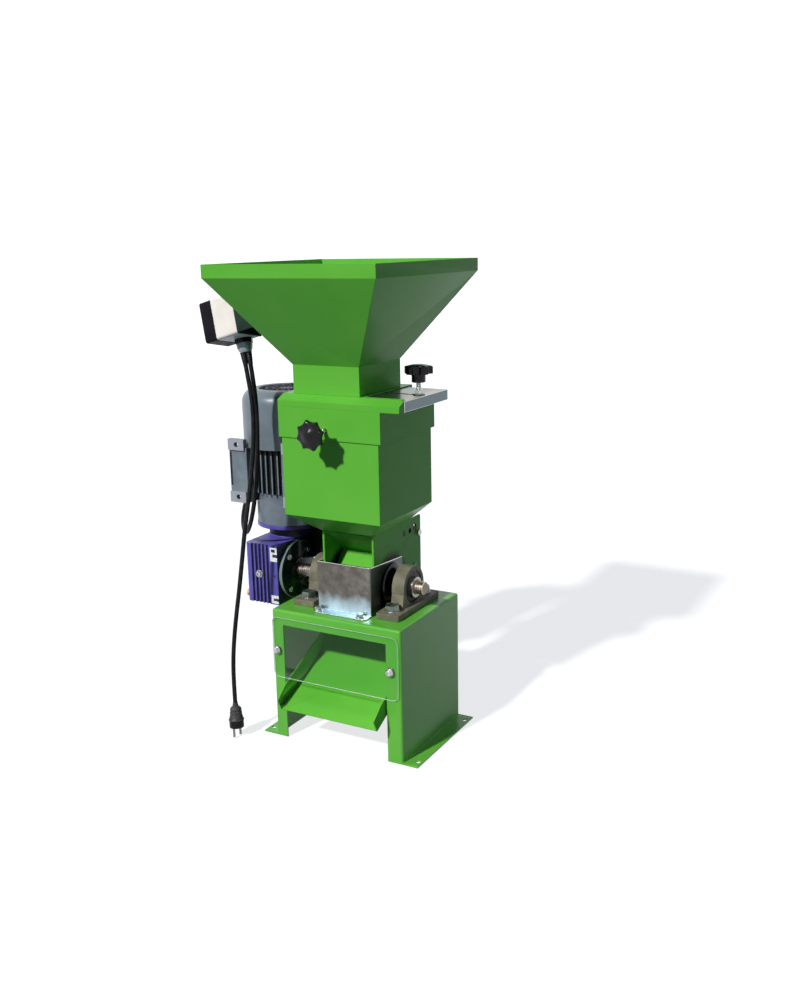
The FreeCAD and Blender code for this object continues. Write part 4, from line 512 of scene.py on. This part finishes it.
def repeated(group, copies, material, values):
    """Ends a geometry tree, sets its inputs, and gives the piece with the plain mesh that it makes."""
    real = add(group, "GeometryNodeRealizeInstances", {}, {0: copies.outputs[0]})
    coated = add(group, "GeometryNodeSetMaterial", {}, {"Geometry": real.outputs[0], "Material": material})
    add(group, "NodeGroupOutput", {}, {0: coated.outputs[0]})
    piece = shown(group.name, bpy.data.meshes.new(group.name))
    maker = piece.modifiers.new(group.name, "NODES")
    maker.node_group = group
    for item in group.interface.items_tree:
        if item.name in values:
            maker[item.identifier] = values[item.name]
    applied(piece)
    return piece


def thread(name, body, start, way, radius, pitch, length):
    """Rolled thread crests: rings repeated along a stud, all in millimetres."""
    group, given = repeat_tree(
        name, ("Rings", "NodeSocketInt"), ("Pitch", "NodeSocketFloat"), ("Radius", "NodeSocketFloat"))
    step = add(group, "ShaderNodeCombineXYZ", {}, {"Z": given["Pitch"]}).outputs[0]
    line = add(group, "GeometryNodeMeshLine", {}, {"Count": given["Rings"], "Offset": step})
    circle = add(group, "GeometryNodeCurvePrimitiveCircle", {"mode": "RADIUS"}, {
        "Resolution": 28, "Radius": given["Radius"]})
    crest = add(group, "GeometryNodeCurvePrimitiveCircle", {"mode": "RADIUS"}, {
        "Resolution": 6, "Radius": pitch * 0.36 * MM})
    ring = add(group, "GeometryNodeCurveToMesh", {}, {0: circle.outputs[0], 1: crest.outputs[0]})
    rings = add(group, "GeometryNodeInstanceOnPoints", {}, {
        "Points": line.outputs[0], "Instance": ring.outputs[0]})
    piece = repeated(group, rings, zinc_fastener, {
        "Rings": round(length / pitch), "Pitch": pitch * MM, "Radius": (radius - pitch * 0.2) * MM})
    turn = Vector(way).to_track_quat("Z", "Y").to_matrix().to_4x4()
    piece.data.transform(Matrix.Translation(Vector(start) * MM) @ turn)
    piece.data.polygons.foreach_set("use_smooth", [True] * len(piece.data.polygons))
    return settle(piece, body, "zinc")


STUD_R, STUD_PITCH, GATE_STUD_X, GATE_STUD_Y, KNOB_HIGH = 4.25, 1.25, 134, -24, 614
STUD_WASHER = [(4.6, 0), (10.5, 0), (11, 0.4), (11, 1.6), (10.5, 2.0), (4.6, 2.0), (4.6, 0)]
bm = turned(bmesh.new(), STUD_WASHER, Vector((GATE_STUD_X, GATE_STUD_Y, 672.1)) * MM, UP, 40)
settle(shown("gate_stud_washer", mesh_of(bm, "gate_stud_washer"), dull_zinc), "gate_clamp", "zinc")
thread("gate_stud_thread", "gate_clamp", (GATE_STUD_X, GATE_STUD_Y, 680.5), UP, STUD_R, STUD_PITCH, 13)
thread("front_stud_thread", "front_clamp", (0, -134.5, KNOB_HIGH), (0, -1, 0), STUD_R, STUD_PITCH, 22)


# The pillow blocks are sand-cast iron under an olive-grey primer, with machined feet. Their bearings
# show bright rings with black rubber seals between them, and a grease nipple touched by the spray.
cast_primer, *_ = finish(
    "olive_primer_on_cast_iron", "#65614F", "#7D7962", 18, (0.5, 0.62), (2.4, 0.3),
    IOR=1.5, Specular_IOR_Level=0.3)
broken_edges("left_block_housing", 1.2, cast_primer, 3)
broken_edges("right_block_housing", 1.2, cast_primer, 3)

nipple_spray, *_ = finish(
    "grease_nipple_overspray", "#2F9C45", "#9BD07A", 5, (0.28, 0.36), IOR=1.5)
broken_edges("grease_nipples", 0.2, nipple_spray)

nitrile_seal, *_ = finish(
    "nitrile_seal_moulded", "#0C0D0F", "#161618", 10, (0.35, 0.5), (1, 0.02),
    IOR=1.52, Specular_IOR_Level=0.2)
SEAL = [(19.7, 8.4), (26.8, 8.4), (26.8, 10.1), (30.4, 10.1), (30.4, 10.9), (28.8, 11.4), (24.6, 10.6),
        (21.4, 10.6), (20.4, 10.9), (19.7, 10.3), (19.7, 8.4)]
bm = bmesh.new()
for centre in (-BLOCK_OUT, BLOCK_OUT):
    for way in (-1, 1):
        turned(bm, SEAL, Vector((centre, 0, SHAFT_HIGH)) * MM, (way, 0, 0), 56)
settle(shown("bearing_seals", mesh_of(bm, "bearing_seals"), nitrile_seal), "frame", "rubber")


# The shaft, its grooved drum, the bearings' rings, the key and the jaw are ground or turned steel. The
# turning marks that run round them are drawn 5 to 14 mm apart, far coarser than they are, so that
# they show. Black-enamelled hubs close the drum's ends, and the jaw's pins are blued.
ground_steel, tree, shader, place = finish(
    "ground_steel", "#A6A19A", "#CBC6BE", 12, (0.2, 0.32), (1.5, 0.008), Metallic=1.0)
GROUND_MARK, TURNED_MARK = 5, 14
marks = add(tree, "ShaderNodeTexWave", {"bands_direction": "X"}, {
    "Vector": place, "Scale": 1 / (GROUND_MARK * MM), "Distortion": 1.5, "Detail": 2.0}).outputs["Fac"]
overlay(tree, shader, marks, 0.6, 1.0, "#8C8780", 0.4)
broken_edges("cracking_drum", 0.3, ground_steel)
broken_edges("adjustable_jaw", 0.6, ground_steel)
for node in ("drum_key", "bearing_balls", "bearing_inner_rings", "bearing_outer_rings", "worm_shaft",
             "motor_rotor", "motor_stator"):
    dress(node, ground_steel)

turned_shaft, tree, shader, place = finish(
    "turned_shaft_steel", "#A59A8E", "#C9BFB2", 8, (0.26, 0.38), (1.2, 0.01), Metallic=1.0)
marks = add(tree, "ShaderNodeTexWave", {"bands_direction": "X"}, {
    "Vector": place, "Scale": 1 / (TURNED_MARK * MM), "Distortion": 2.0, "Detail": 3.0}).outputs["Fac"]
overlay(tree, shader, marks, 0.6, 1.0, "#776C61", 0.34)
# Painted shade: the shaft's right end face is drawn darker.
SHAFT_END = 128.9
across = add(tree, "ShaderNodeSeparateXYZ", {}, {0: place}).outputs[0]
overlay(tree, shader, across, (SHAFT_END - 0.3) * MM, SHAFT_END * MM, "#7B6E62", 0.45)
dress("main_shaft", turned_shaft)

hub_black, *_ = finish(
    "drum_hub_black_enamel", "#08090B", "#121316", 20, (0.14, 0.24), (3, 0.03),
    IOR=1.5, Specular_IOR_Level=0.3)
HUB_SEAT = 58.6
HUB = [(15.3, 0), (39.5, 0), (41, 1.2), (41, 3.0), (39.2, 4.8), (31, 6.6), (23, 9.2), (18.6, 12.6),
       (15.3, 13.4), (15.3, 0)]
bm = bmesh.new()
for way in (-1, 1):
    turned(bm, HUB, Vector((way * HUB_SEAT, 0, SHAFT_HIGH)) * MM, (way, 0, 0), 64)
settle(shown("drum_end_hubs", mesh_of(bm, "drum_end_hubs"), hub_black), "drum_shaft", "black")

blued_steel, *_ = finish(
    "blued_steel_pins", "#0B0C0E", "#17181B", 5, (0.25, 0.4), Metallic=1.0)
dress("jaw_pivot_pin", blued_steel)
dress("jaw_slot_pin", blued_steel)


# The gear reducer is die-cast aluminium sprayed violet-blue, with painted shade in its grooves, under
# its neck and on its right side. Two pads on its front edge are milled bare, with painted shade in their
# slots; a black plate bolted at its rear stands in for the deep shade there.
violet_paint, tree, shader, place = finish(
    "violet_paint_on_die_casting", "#534C9E", "#6058AC", 26, (0.3, 0.42), (3, 0.06), IOR=1.5,
    Specular_IOR_Level=0.25)
x, y, z = add(tree, "ShaderNodeSeparateXYZ", {}, {0: place}).outputs
GROOVE_Y, GROOVE_DEEP, GROOVE_X, GROOVE_HALF = -57.2, 1.5, -205.5, 21.5
NECK_HIGH, NECK_HALF, SIDE_FACE = 375, 9.6, -164.6
depth = add(tree, "ShaderNodeMath", {"operation": "COMPARE"}, {
    0: y, 1: GROOVE_Y * MM, 2: GROOVE_DEEP * MM}).outputs[0]
across = add(tree, "ShaderNodeMath", {"operation": "COMPARE"}, {
    0: x, 1: GROOVE_X * MM, 2: GROOVE_HALF * MM}).outputs[0]
groove_shade = add(tree, "ShaderNodeMath", {"operation": "MULTIPLY"}, {0: depth, 1: across}).outputs[0]
# Painted shade in the grooves.
overlay(tree, shader, groove_shade, 0, 1, "#1A1633", 0.5)
neck_shade = add(tree, "ShaderNodeMath", {"operation": "COMPARE"}, {
    0: z, 1: NECK_HIGH * MM, 2: NECK_HALF * MM}).outputs[0]
# Painted shade under the neck.
overlay(tree, shader, neck_shade, 0, 1, "#131124", 0.5)
# Painted shade on the right side face.
overlay(tree, shader, x, (SIDE_FACE - 1) * MM, SIDE_FACE * MM, "#1D1A3C", 0.45)
for node in ("gearbox_housing", "gearbox_cover"):
    broken_edges(node, 0.8, violet_paint)


def slab(bm, low, high, material):
    """A box between two corners in millimetres."""
    corners = bmesh.ops.create_cube(bm, size=1.0)["verts"]
    for corner in corners:
        corner.co = Vector([(low[k] if corner.co[k] < 0 else high[k]) * MM for k in range(3)])
    for face in {face for corner in corners for face in corner.link_faces}:
        face.material_index = material


milled_bare, *_ = finish(
    "milled_aluminium_bare", "#C9CDD2", "#EEF1F3", 6, (0.25, 0.4), (1, 0.01), Metallic=1.0)
# Painted shade: thin dark slabs on the pads stand for the shade in their slots.
slot_shade_paint, *_ = finish("painted_shade_in_slots", "#0D0D14", "#16151F", 6, (0.5, 0.7), IOR=1.5)
copper_bolt, *_ = finish(
    "coppered_bolt", "#8A6A60", "#B08A7C", 4, (0.28, 0.45), (1, 0.02), Metallic=1.0)
bm = bmesh.new()
for low, high, material in (
        ((-180.5, -60.7, 333), (-164.0, -59.5, 361), 0), ((-181.5, -60.7, 247), (-164.5, -59.5, 263.5), 0),
        ((-177.6, -60.9, 351.6), (-168.6, -59.8, 357.6), 1),
        ((-174.5, -60.9, 341.5), (-163.8, -59.8, 347.5), 1),
        ((-176.0, -60.9, 252), (-164.4, -59.8, 257.5), 1),
        ((-175.5, -60.4, 300.5), (-170.5, -59.8, 305), 1)):
    slab(bm, low, high, material)
settle(shown("gearbox_pads", mesh_of(bm, "gearbox_pads"), milled_bare, slot_shade_paint), "frame", "steel")

OIL_PLUG_AT, TO_FRONT = Vector((-207.8, -60.2, SHAFT_HIGH)) * MM, (0, -1, 0)
OIL_PLUG_COLLAR = [(0, 0), (7.8, 0), (7.8, 1.2), (7.2, 1.8), (0, 1.8)]
OIL_PLUG_HEAD = [(0, 1.7), (5.9, 1.7), (5.9, 5.0), (5.2, 5.8), (3.1, 5.8), (2.7, 3.8), (0, 3.8)]
bm = turned(bmesh.new(), OIL_PLUG_COLLAR, OIL_PLUG_AT, TO_FRONT, 40)
turned(bm, OIL_PLUG_HEAD, OIL_PLUG_AT, TO_FRONT, HEXAGON)
settle(shown("oil_plug", mesh_of(bm, "oil_plug"), zinc_fastener), "frame", "zinc")

SIDE_BOLT_AT, TO_LEFT = Vector((-241.4, -46, 256)) * MM, (-1, 0, 0)
SIDE_WASHER = [(0, 0), (8.5, 0), (8.5, 1.4), (0, 1.4)]
SIDE_BOLT_HEAD = [(0, 1.3), (6.6, 1.3), (7.2, 2.0), (7.2, 6.4), (6.4, 7.2), (0, 7.4)]
bm = turned(bmesh.new(), SIDE_WASHER, SIDE_BOLT_AT, TO_LEFT, 40)
turned(bm, SIDE_BOLT_HEAD, SIDE_BOLT_AT, TO_LEFT, HEXAGON)
settle(shown("gearbox_side_bolt", mesh_of(bm, "gearbox_side_bolt"), copper_bolt), "frame", "brass")

# A black plate behind the reducer, drawn to stand in for the deep shade there, with four bolt heads.
shade_plate_black, *_ = finish(
    "black_plate_standing_for_shade", "#0D0C12", "#17151D", 24, (0.4, 0.55), (3, 0.03),
    IOR=1.5, Specular_IOR_Level=0.15)
SHADE_PLATE_FRONT, SHADE_PLATE_BACK, SHADE_PLATE_BOLTS_X = 60.2, 66.2, -129
bm = bmesh.new()
slab(bm, (-176, SHADE_PLATE_FRONT, 312), (-122, SHADE_PLATE_BACK, 392), 0)
settle(shown("reducer_shade_plate", mesh_of(bm, "reducer_shade_plate"), shade_plate_black), "frame", "black")
SHADE_PLATE_BOLT_HEAD = [(0, 0), (5.2, 0), (5.8, 0.5), (5.8, 3.6), (5.0, 4.2), (0, 4.2)]
bm = bmesh.new()
for high in (322, 382):
    for face, way in ((SHADE_PLATE_FRONT, -1), (SHADE_PLATE_BACK, 1)):
        turned(bm, SHADE_PLATE_BOLT_HEAD, Vector((SHADE_PLATE_BOLTS_X, face, high)) * MM, (0, way, 0), HEXAGON)
settle(shown("shade_plate_bolts", mesh_of(bm, "shade_plate_bolts"), zinc_fastener), "frame", "zinc")


# The output flange is turned iron sprayed dark green, nearly black and glossy, with a painted highlight
# round its rim. An oil seal closes the bore round the shaft, and a bronze worm wheel runs behind it.
flange_paint, tree, shader, place = finish(
    "dark_green_paint_on_flange", "#0B1815", "#182F27", 22, (0.14, 0.24), (4, 0.03),
    IOR=1.5, Specular_IOR_Level=0.12)
HIGHLIT_RIM = 57.2
radius = off_line(tree, place, SIDEWAYS, (0, 0, SHAFT_HIGH))
# Painted highlight round the flange's rim.
overlay(tree, shader, radius, (HIGHLIT_RIM - 0.8) * MM, HIGHLIT_RIM * MM, "#7C8B86", 0.25)
broken_edges("output_flange", 0.6, flange_paint)

bronze, *_ = finish(
    "cast_bronze_wheel", "#8F6C36", "#B08A4A", 9, (0.3, 0.42), (2, 0.05), Metallic=1.0)
dress("worm_wheel", bronze)
OIL_SEAL_SEAT = -152.3
OIL_SEAL = [(12.7, 0), (17.3, 0), (17.3, 0.8), (16.6, 1.2), (13.2, 1.2), (12.7, 0.8), (12.7, 0)]
bm = turned(bmesh.new(), OIL_SEAL, Vector((OIL_SEAL_SEAT, 0, SHAFT_HIGH)) * MM, (1, 0, 0), 56)
settle(shown("oil_seal", mesh_of(bm, "oil_seal"), nitrile_seal), "frame", "rubber")


# The motor's case is cast aluminium with cooling fins and feet, sprayed machine grey. Painted shade
# blackens the gaps between its fins, the band under the fan cover and a strip in its foot's recess; the
# fins' edges carry a painted highlight and the feet's pads are painted lighter, as lit. Its end shields
# and the terminal box are smoother castings in the same grey.
case_paint, tree, shader, place = finish(
    "grey_paint_on_finned_casting", "#68727A", "#7B868C", 30, (0.34, 0.46), (3, 0.08),
    IOR=1.5, Specular_IOR_Level=0.3)
MOTOR_X, MOTOR_Y, GAP_TOP, GAP_FLOOR, TIP_R = -202.5, 50, 79.6, 76.0, 82.4
COVER_GAP_HIGH, PAD_FACE, FOOT_HIGH, FOOT_HALF, FOOT_SIDE = 536, -40, 505, 34, -283
radius = off_line(tree, place, (1.0, 1.0, 0.0), (MOTOR_X, MOTOR_Y, 0))
x, y, z = add(tree, "ShaderNodeSeparateXYZ", {}, {0: place}).outputs
fin_edge_highlight = add(tree, "ShaderNodeMath", {"operation": "COMPARE"}, {
    0: radius, 1: TIP_R * MM, 2: 0.7 * MM}).outputs[0]
# Painted highlight on the fins' edges.
overlay(tree, shader, fin_edge_highlight, 0, 1, "#9EA7AB", 0.3)
# Painted shade between the fins.
overlay(tree, shader, radius, GAP_TOP * MM, GAP_FLOOR * MM, "#0B0C0F", 0.7)
high = add(tree, "ShaderNodeMath", {"operation": "GREATER_THAN"}, {0: z, 1: COVER_GAP_HIGH * MM}).outputs[0]
near = add(tree, "ShaderNodeMath", {"operation": "LESS_THAN"}, {
    0: radius, 1: (TIP_R - 0.6) * MM}).outputs[0]
shade_under_cover = add(tree, "ShaderNodeMath", {"operation": "MULTIPLY"}, {0: high, 1: near}).outputs[0]
# Painted shade under the fan cover.
overlay(tree, shader, shade_under_cover, 0, 1, "#0D0E11", 0.7)
pad_light = add(tree, "ShaderNodeMath", {"operation": "COMPARE"}, {
    0: y, 1: PAD_FACE * MM, 2: 1.2 * MM}).outputs[0]
# Painted light on the feet's pads.
overlay(tree, shader, pad_light, 0, 1, "#A3A4A8", 0.4)
recess = add(tree, "ShaderNodeMath", {"operation": "COMPARE"}, {
    0: z, 1: FOOT_HIGH * MM, 2: FOOT_HALF * MM}).outputs[0]
side = add(tree, "ShaderNodeMath", {"operation": "COMPARE"}, {
    0: x, 1: FOOT_SIDE * MM, 2: 3.6 * MM}).outputs[0]
shade_in_recess = add(tree, "ShaderNodeMath", {"operation": "MULTIPLY"}, {0: recess, 1: side}).outputs[0]
# Painted shade in the foot's recess.
overlay(tree, shader, shade_in_recess, 0, 1, "#15171A", 0.6)
broken_edges("motor_case", 0.4, case_paint)

shield_paint, *_ = finish(
    "grey_paint_on_smooth_casting", "#606A71", "#717C83", 35, (0.32, 0.44), (2.2, 0.1),
    IOR=1.5, Specular_IOR_Level=0.3)
broken_edges("motor_end_shields", 0.8, shield_paint)
broken_edges("terminal_box", 1.5, shield_paint)


# The fan cover is spun from sheet steel, with a round shoulder and a rolled bottom edge, sprayed
# the same grey. Its top is an open grille: three rings on radial bars, with the black fan below. The rings
# and bars are drawn dark as painted shade.
spun_paint, *_ = finish(
    "grey_paint_on_spun_steel", "#68737A", "#78838A", 50, (0.32, 0.4), (9, 0.03),
    IOR=1.5, Specular_IOR_Level=0.4)
# Painted shade: the grille's rings and bars are drawn dark.
shaded_wire, *_ = finish(
    "grille_wire_painted_shade", "#202327", "#3A3F46", 9, (0.4, 0.55), (2, 0.05),
    IOR=1.5, Specular_IOR_Level=0.3)
COVER_BASE = Vector((MOTOR_X, MOTOR_Y, 548)) * MM
SHOULDER_R, SHOULDER_HIGH, BEND_OUT, BEND_IN = 62, 86, 26, 24


def shoulder(bend, angles):
    """Points of (radius, height) round the cover's rounded shoulder."""
    return [(SHOULDER_R + bend * math.cos(math.radians(angle)),
             SHOULDER_HIGH + bend * math.sin(math.radians(angle))) for angle in angles]


cover = [(86, 0), (86.4, -0.6), (87.6, -0.6), (88, 0), *shoulder(BEND_OUT, range(0, 91, 9)), (55.5, 112),
         (54, 111.2), (53.6, 109.6), (55, 109.4), *shoulder(BEND_IN, range(90, -1, -15)), (86, 0)]
bm = turned(bmesh.new(), cover, COVER_BASE, UP, 96)
RING_LOW, RING_TOP = 108.2, 110.4
for inner, outer in ((0, 13), (24.5, 27), (38, 40.5)):
    rim = [(inner, RING_LOW), (outer, RING_LOW), (outer, RING_TOP), (inner, RING_TOP)]
    turned(bm, rim if inner == 0 else [*rim, rim[0]], COVER_BASE, UP, 72, 1)
settle(shown("fan_cover_spun", mesh_of(bm, "fan_cover_spun"), spun_paint, shaded_wire),
       "frame", "motor_grey", "fan_cover")

BARS, BAR_IN, BAR_OUT, BAR_WIDE, BAR_THICK, BARS_HIGH = 16, 12, 55, 2.2, 1.8, 109.3
group, given = repeat_tree("fan_grille", ("Bars", "NodeSocketInt"), ("Long", "NodeSocketFloat"))
circle = add(group, "GeometryNodeMeshCircle", {}, {
    "Vertices": given["Bars"], "Radius": (BAR_IN + BAR_OUT) / 2 * MM})
size = add(group, "ShaderNodeCombineXYZ", {}, {"X": given["Long"], "Y": BAR_WIDE * MM, "Z": BAR_THICK * MM})
bar = add(group, "GeometryNodeMeshCube", {}, {"Size": size.outputs[0]})
index = add(group, "GeometryNodeInputIndex", {}, {}).outputs[0]
whole_turns = add(group, "ShaderNodeMath", {"operation": "MULTIPLY"}, {0: index, 1: 2 * math.pi})
turn = add(group, "ShaderNodeMath", {"operation": "DIVIDE"}, {0: whole_turns.outputs[0], 1: given["Bars"]})
spun = add(group, "ShaderNodeCombineXYZ", {}, {"Z": turn.outputs[0]})
bars = add(group, "GeometryNodeInstanceOnPoints", {}, {
    "Points": circle.outputs[0], "Instance": bar.outputs[0], "Rotation": spun.outputs[0]})
fan_grille = repeated(group, bars, shaded_wire, {"Bars": BARS, "Long": (BAR_OUT - BAR_IN) * MM})
fan_grille.data.transform(Matrix.Translation(COVER_BASE + Vector((0, 0, BARS_HIGH)) * MM))
settle(fan_grille, "frame", "motor_grey")

fan_plastic, *_ = finish(
    "fan_polypropylene_moulded", "#0F0F12", "#19181B", 20, (0.4, 0.55), (2, 0.03),
    IOR=1.5, Specular_IOR_Level=0.2)
broken_edges("motor_fan", 0.3, fan_plastic)


# The switch box is a satin cream ABS shell with a duller black ABS front, screwed to its bracket. The
# start button is green and the stop button red, both moulded with a satin top.
cream_plastic, *_ = finish(
    "cream_abs_moulded", "#EAE1D2", "#F1EADD", 30, (0.36, 0.46), (0.9, 0.015), IOR=1.53)
broken_edges("switch_body", 1.5, cream_plastic, 3)

black_plastic, *_ = finish(
    "black_abs_moulded", "#141116", "#1D191E", 20, (0.42, 0.55), (0.9, 0.02),
    IOR=1.53, Specular_IOR_Level=0.06)
broken_edges("switch_cover", 1.5, black_plastic, 3)

for name, node, dark, light in (("green_button_moulded", "start_button", "#12803A", "#1E9A4A"),
                                ("red_button_moulded", "stop_button", "#B01C1A", "#C92A24")):
    button_plastic, *_ = finish(name, dark, light, 8, (0.28, 0.36), IOR=1.53)
    broken_edges(node, 0.8, button_plastic, 3)


# Both knobs are pressed from black bakelite over a steel insert, and polished, so that the domed faces
# catch the light. The front one has eight pointed lobes between hollow flutes.
bakelite, *_ = finish(
    "black_bakelite_pressed", "#0B090D", "#141116", 10, (0.15, 0.24), (5, 0.02),
    IOR=1.6, Specular_IOR_Level=0.17)
broken_edges("gate_knob", 1.5, bakelite, 3)

LOBES, KNOB_R, FLUTE_R, FLUTE_AT, LOBE_TURN, KNOB_STEPS = 8, 27.5, 21.0, 44.3, 0.26, 160
KNOB_FOOT = -158
KNOB_RINGS = [  # share of the radius, how far the flutes cut in, distance out from the knob's foot
    (0.0, 0, 0), (0.44, 0, 0), (0.48, 0, 0.8), (0.48, 0, 9.0), (0.88, 1, 9.6), (0.97, 1, 10.4),
    (1.0, 1, 11.6), (1.0, 1, 17.6), (0.97, 1, 19.0), (0.9, 1, 20.0), (0.72, 0.4, 20.9), (0.58, 0, 21.9),
    (0.46, 0, 23.3), (0.34, 0, 25.0), (0.22, 0, 26.5), (0.1, 0, 27.4), (0.0, 0, 27.7)]


def lobed(turn):
    """The front knob's radius at an angle: its round edge, or the hollow flute that cuts it."""
    off = ((turn - LOBE_TURN) * LOBES / (2 * math.pi) % 1 - 0.5) * 2 * math.pi / LOBES
    reach = FLUTE_R ** 2 - (FLUTE_AT * math.sin(off)) ** 2
    return min(KNOB_R, FLUTE_AT * math.cos(off) - math.sqrt(reach)) if reach > 0 else KNOB_R


bm = bmesh.new()
rings = []
for share, flute, out in KNOB_RINGS:
    ring = []
    for i in range(KNOB_STEPS if share else 1):
        turn = 2 * math.pi * i / KNOB_STEPS
        radius = share * (flute * lobed(turn) + (1 - flute) * KNOB_R)
        ring.append(bm.verts.new(Vector((
            radius * math.cos(turn), KNOB_FOOT - out, KNOB_HIGH + radius * math.sin(turn))) * MM))
    rings.append(ring)
bridged(bm, rings, KNOB_STEPS)
settle(shown("front_knob_lobed", mesh_of(bm, "front_knob_lobed", 40), bakelite),
       "front_clamp", "knob_black", "front_knob")


# The studio: a pale paper sweep runs back under the machine and curves up behind it. One soft sun
# stands in front, a little left; weak light comes from all round. Seen directly the paper is white.
def seen_rays(tree):
    """1 for rays that come from the camera, or from it by way of gloss or clear sheet."""
    rays = add(tree, "ShaderNodeLightPath", {}, {}).outputs
    first = add(tree, "ShaderNodeMath", {"operation": "MAXIMUM"}, {
        0: rays["Is Camera Ray"], 1: rays["Is Transmission Ray"]}).outputs[0]
    return add(tree, "ShaderNodeMath", {"operation": "MAXIMUM"}, {
        0: first, 1: rays["Is Glossy Ray"]}).outputs[0]


PAPER_LIFT, PAPER_SEEN = 0.76, "#AAABAD"
sweep_paper, tree, shader, _ = finish(
    "matt_sweep_paper", "#6E7890", "#717B93", 900, (0.95, 0.95), Emission_Color=(1, 1, 1, 1),
    Specular_IOR_Level=0.0)
seen = seen_rays(tree)
lift = add(tree, "ShaderNodeMath", {"operation": "MULTIPLY"}, {0: seen, 1: PAPER_LIFT})
tree.links.new(lift.outputs[0], shader.inputs["Emission Strength"])
tint = add(tree, "ShaderNodeMix", {"data_type": "RGBA"}, {
    0: seen, 6: shader.inputs["Base Color"].links[0].from_socket, 7: linear(PAPER_SEEN)})
tree.links.new(tint.outputs[2], shader.inputs["Base Color"])
SWEEP_HALF, SWEEP_FRONT, SWEEP_BACK, SWEEP_BEND, SWEEP_TOP, BEND_STEPS = 9.0, -6.0, 5.0, 2.0, 9.0, 12
bm = bmesh.new()
profile = [(SWEEP_FRONT, 0)]
for step in range(BEND_STEPS + 1):
    turn = math.radians(90 * step / BEND_STEPS)
    profile.append((SWEEP_BACK - SWEEP_BEND + SWEEP_BEND * math.sin(turn), SWEEP_BEND * (1 - math.cos(turn))))
profile.append((SWEEP_BACK, SWEEP_TOP))
rows = [[bm.verts.new((x, y, z)) for x in (-SWEEP_HALF, SWEEP_HALF)] for y, z in profile]
for low, high in zip(rows, rows[1:]):
    bm.faces.new((low[0], low[1], high[1], high[0]))
studio_sweep = shown("studio_sweep", mesh_of(bm, "studio_sweep"), sweep_paper)

ROOM_LIGHT, ROOM_COOL = 0.15, "#A6C6FF"
world = bpy.data.worlds.new("studio_room")
scene.world = world
world.use_nodes = True
tree = world.node_tree
tree.nodes.clear()
seen = seen_rays(tree)
level = add(tree, "ShaderNodeMapRange", {}, {"Value": seen, "To Min": ROOM_LIGHT, "To Max": 1.0})
cast = add(tree, "ShaderNodeMix", {"data_type": "RGBA"}, {
    0: seen, 6: linear(ROOM_COOL), 7: linear("#FFFFFF")})
room = add(tree, "ShaderNodeBackground", {}, {"Color": cast.outputs[2], "Strength": level.outputs[0]})
add(tree, "ShaderNodeOutputWorld", {}, {"Surface": room.outputs[0]})

SUN_STRENGTH, SUN_ACROSS, SUN_FROM = 3.35, 3, Vector((-0.17, -0.77, 0.615))
sun = bpy.data.lights.new("soft_sun", "SUN")
sun.energy = SUN_STRENGTH
sun.angle = math.radians(SUN_ACROSS)
sun_stand = bpy.data.objects.new("soft_sun", sun)
scene.collection.objects.link(sun_stand)
sun_stand.rotation_euler = SUN_FROM.to_track_quat("Z", "Y").to_euler()
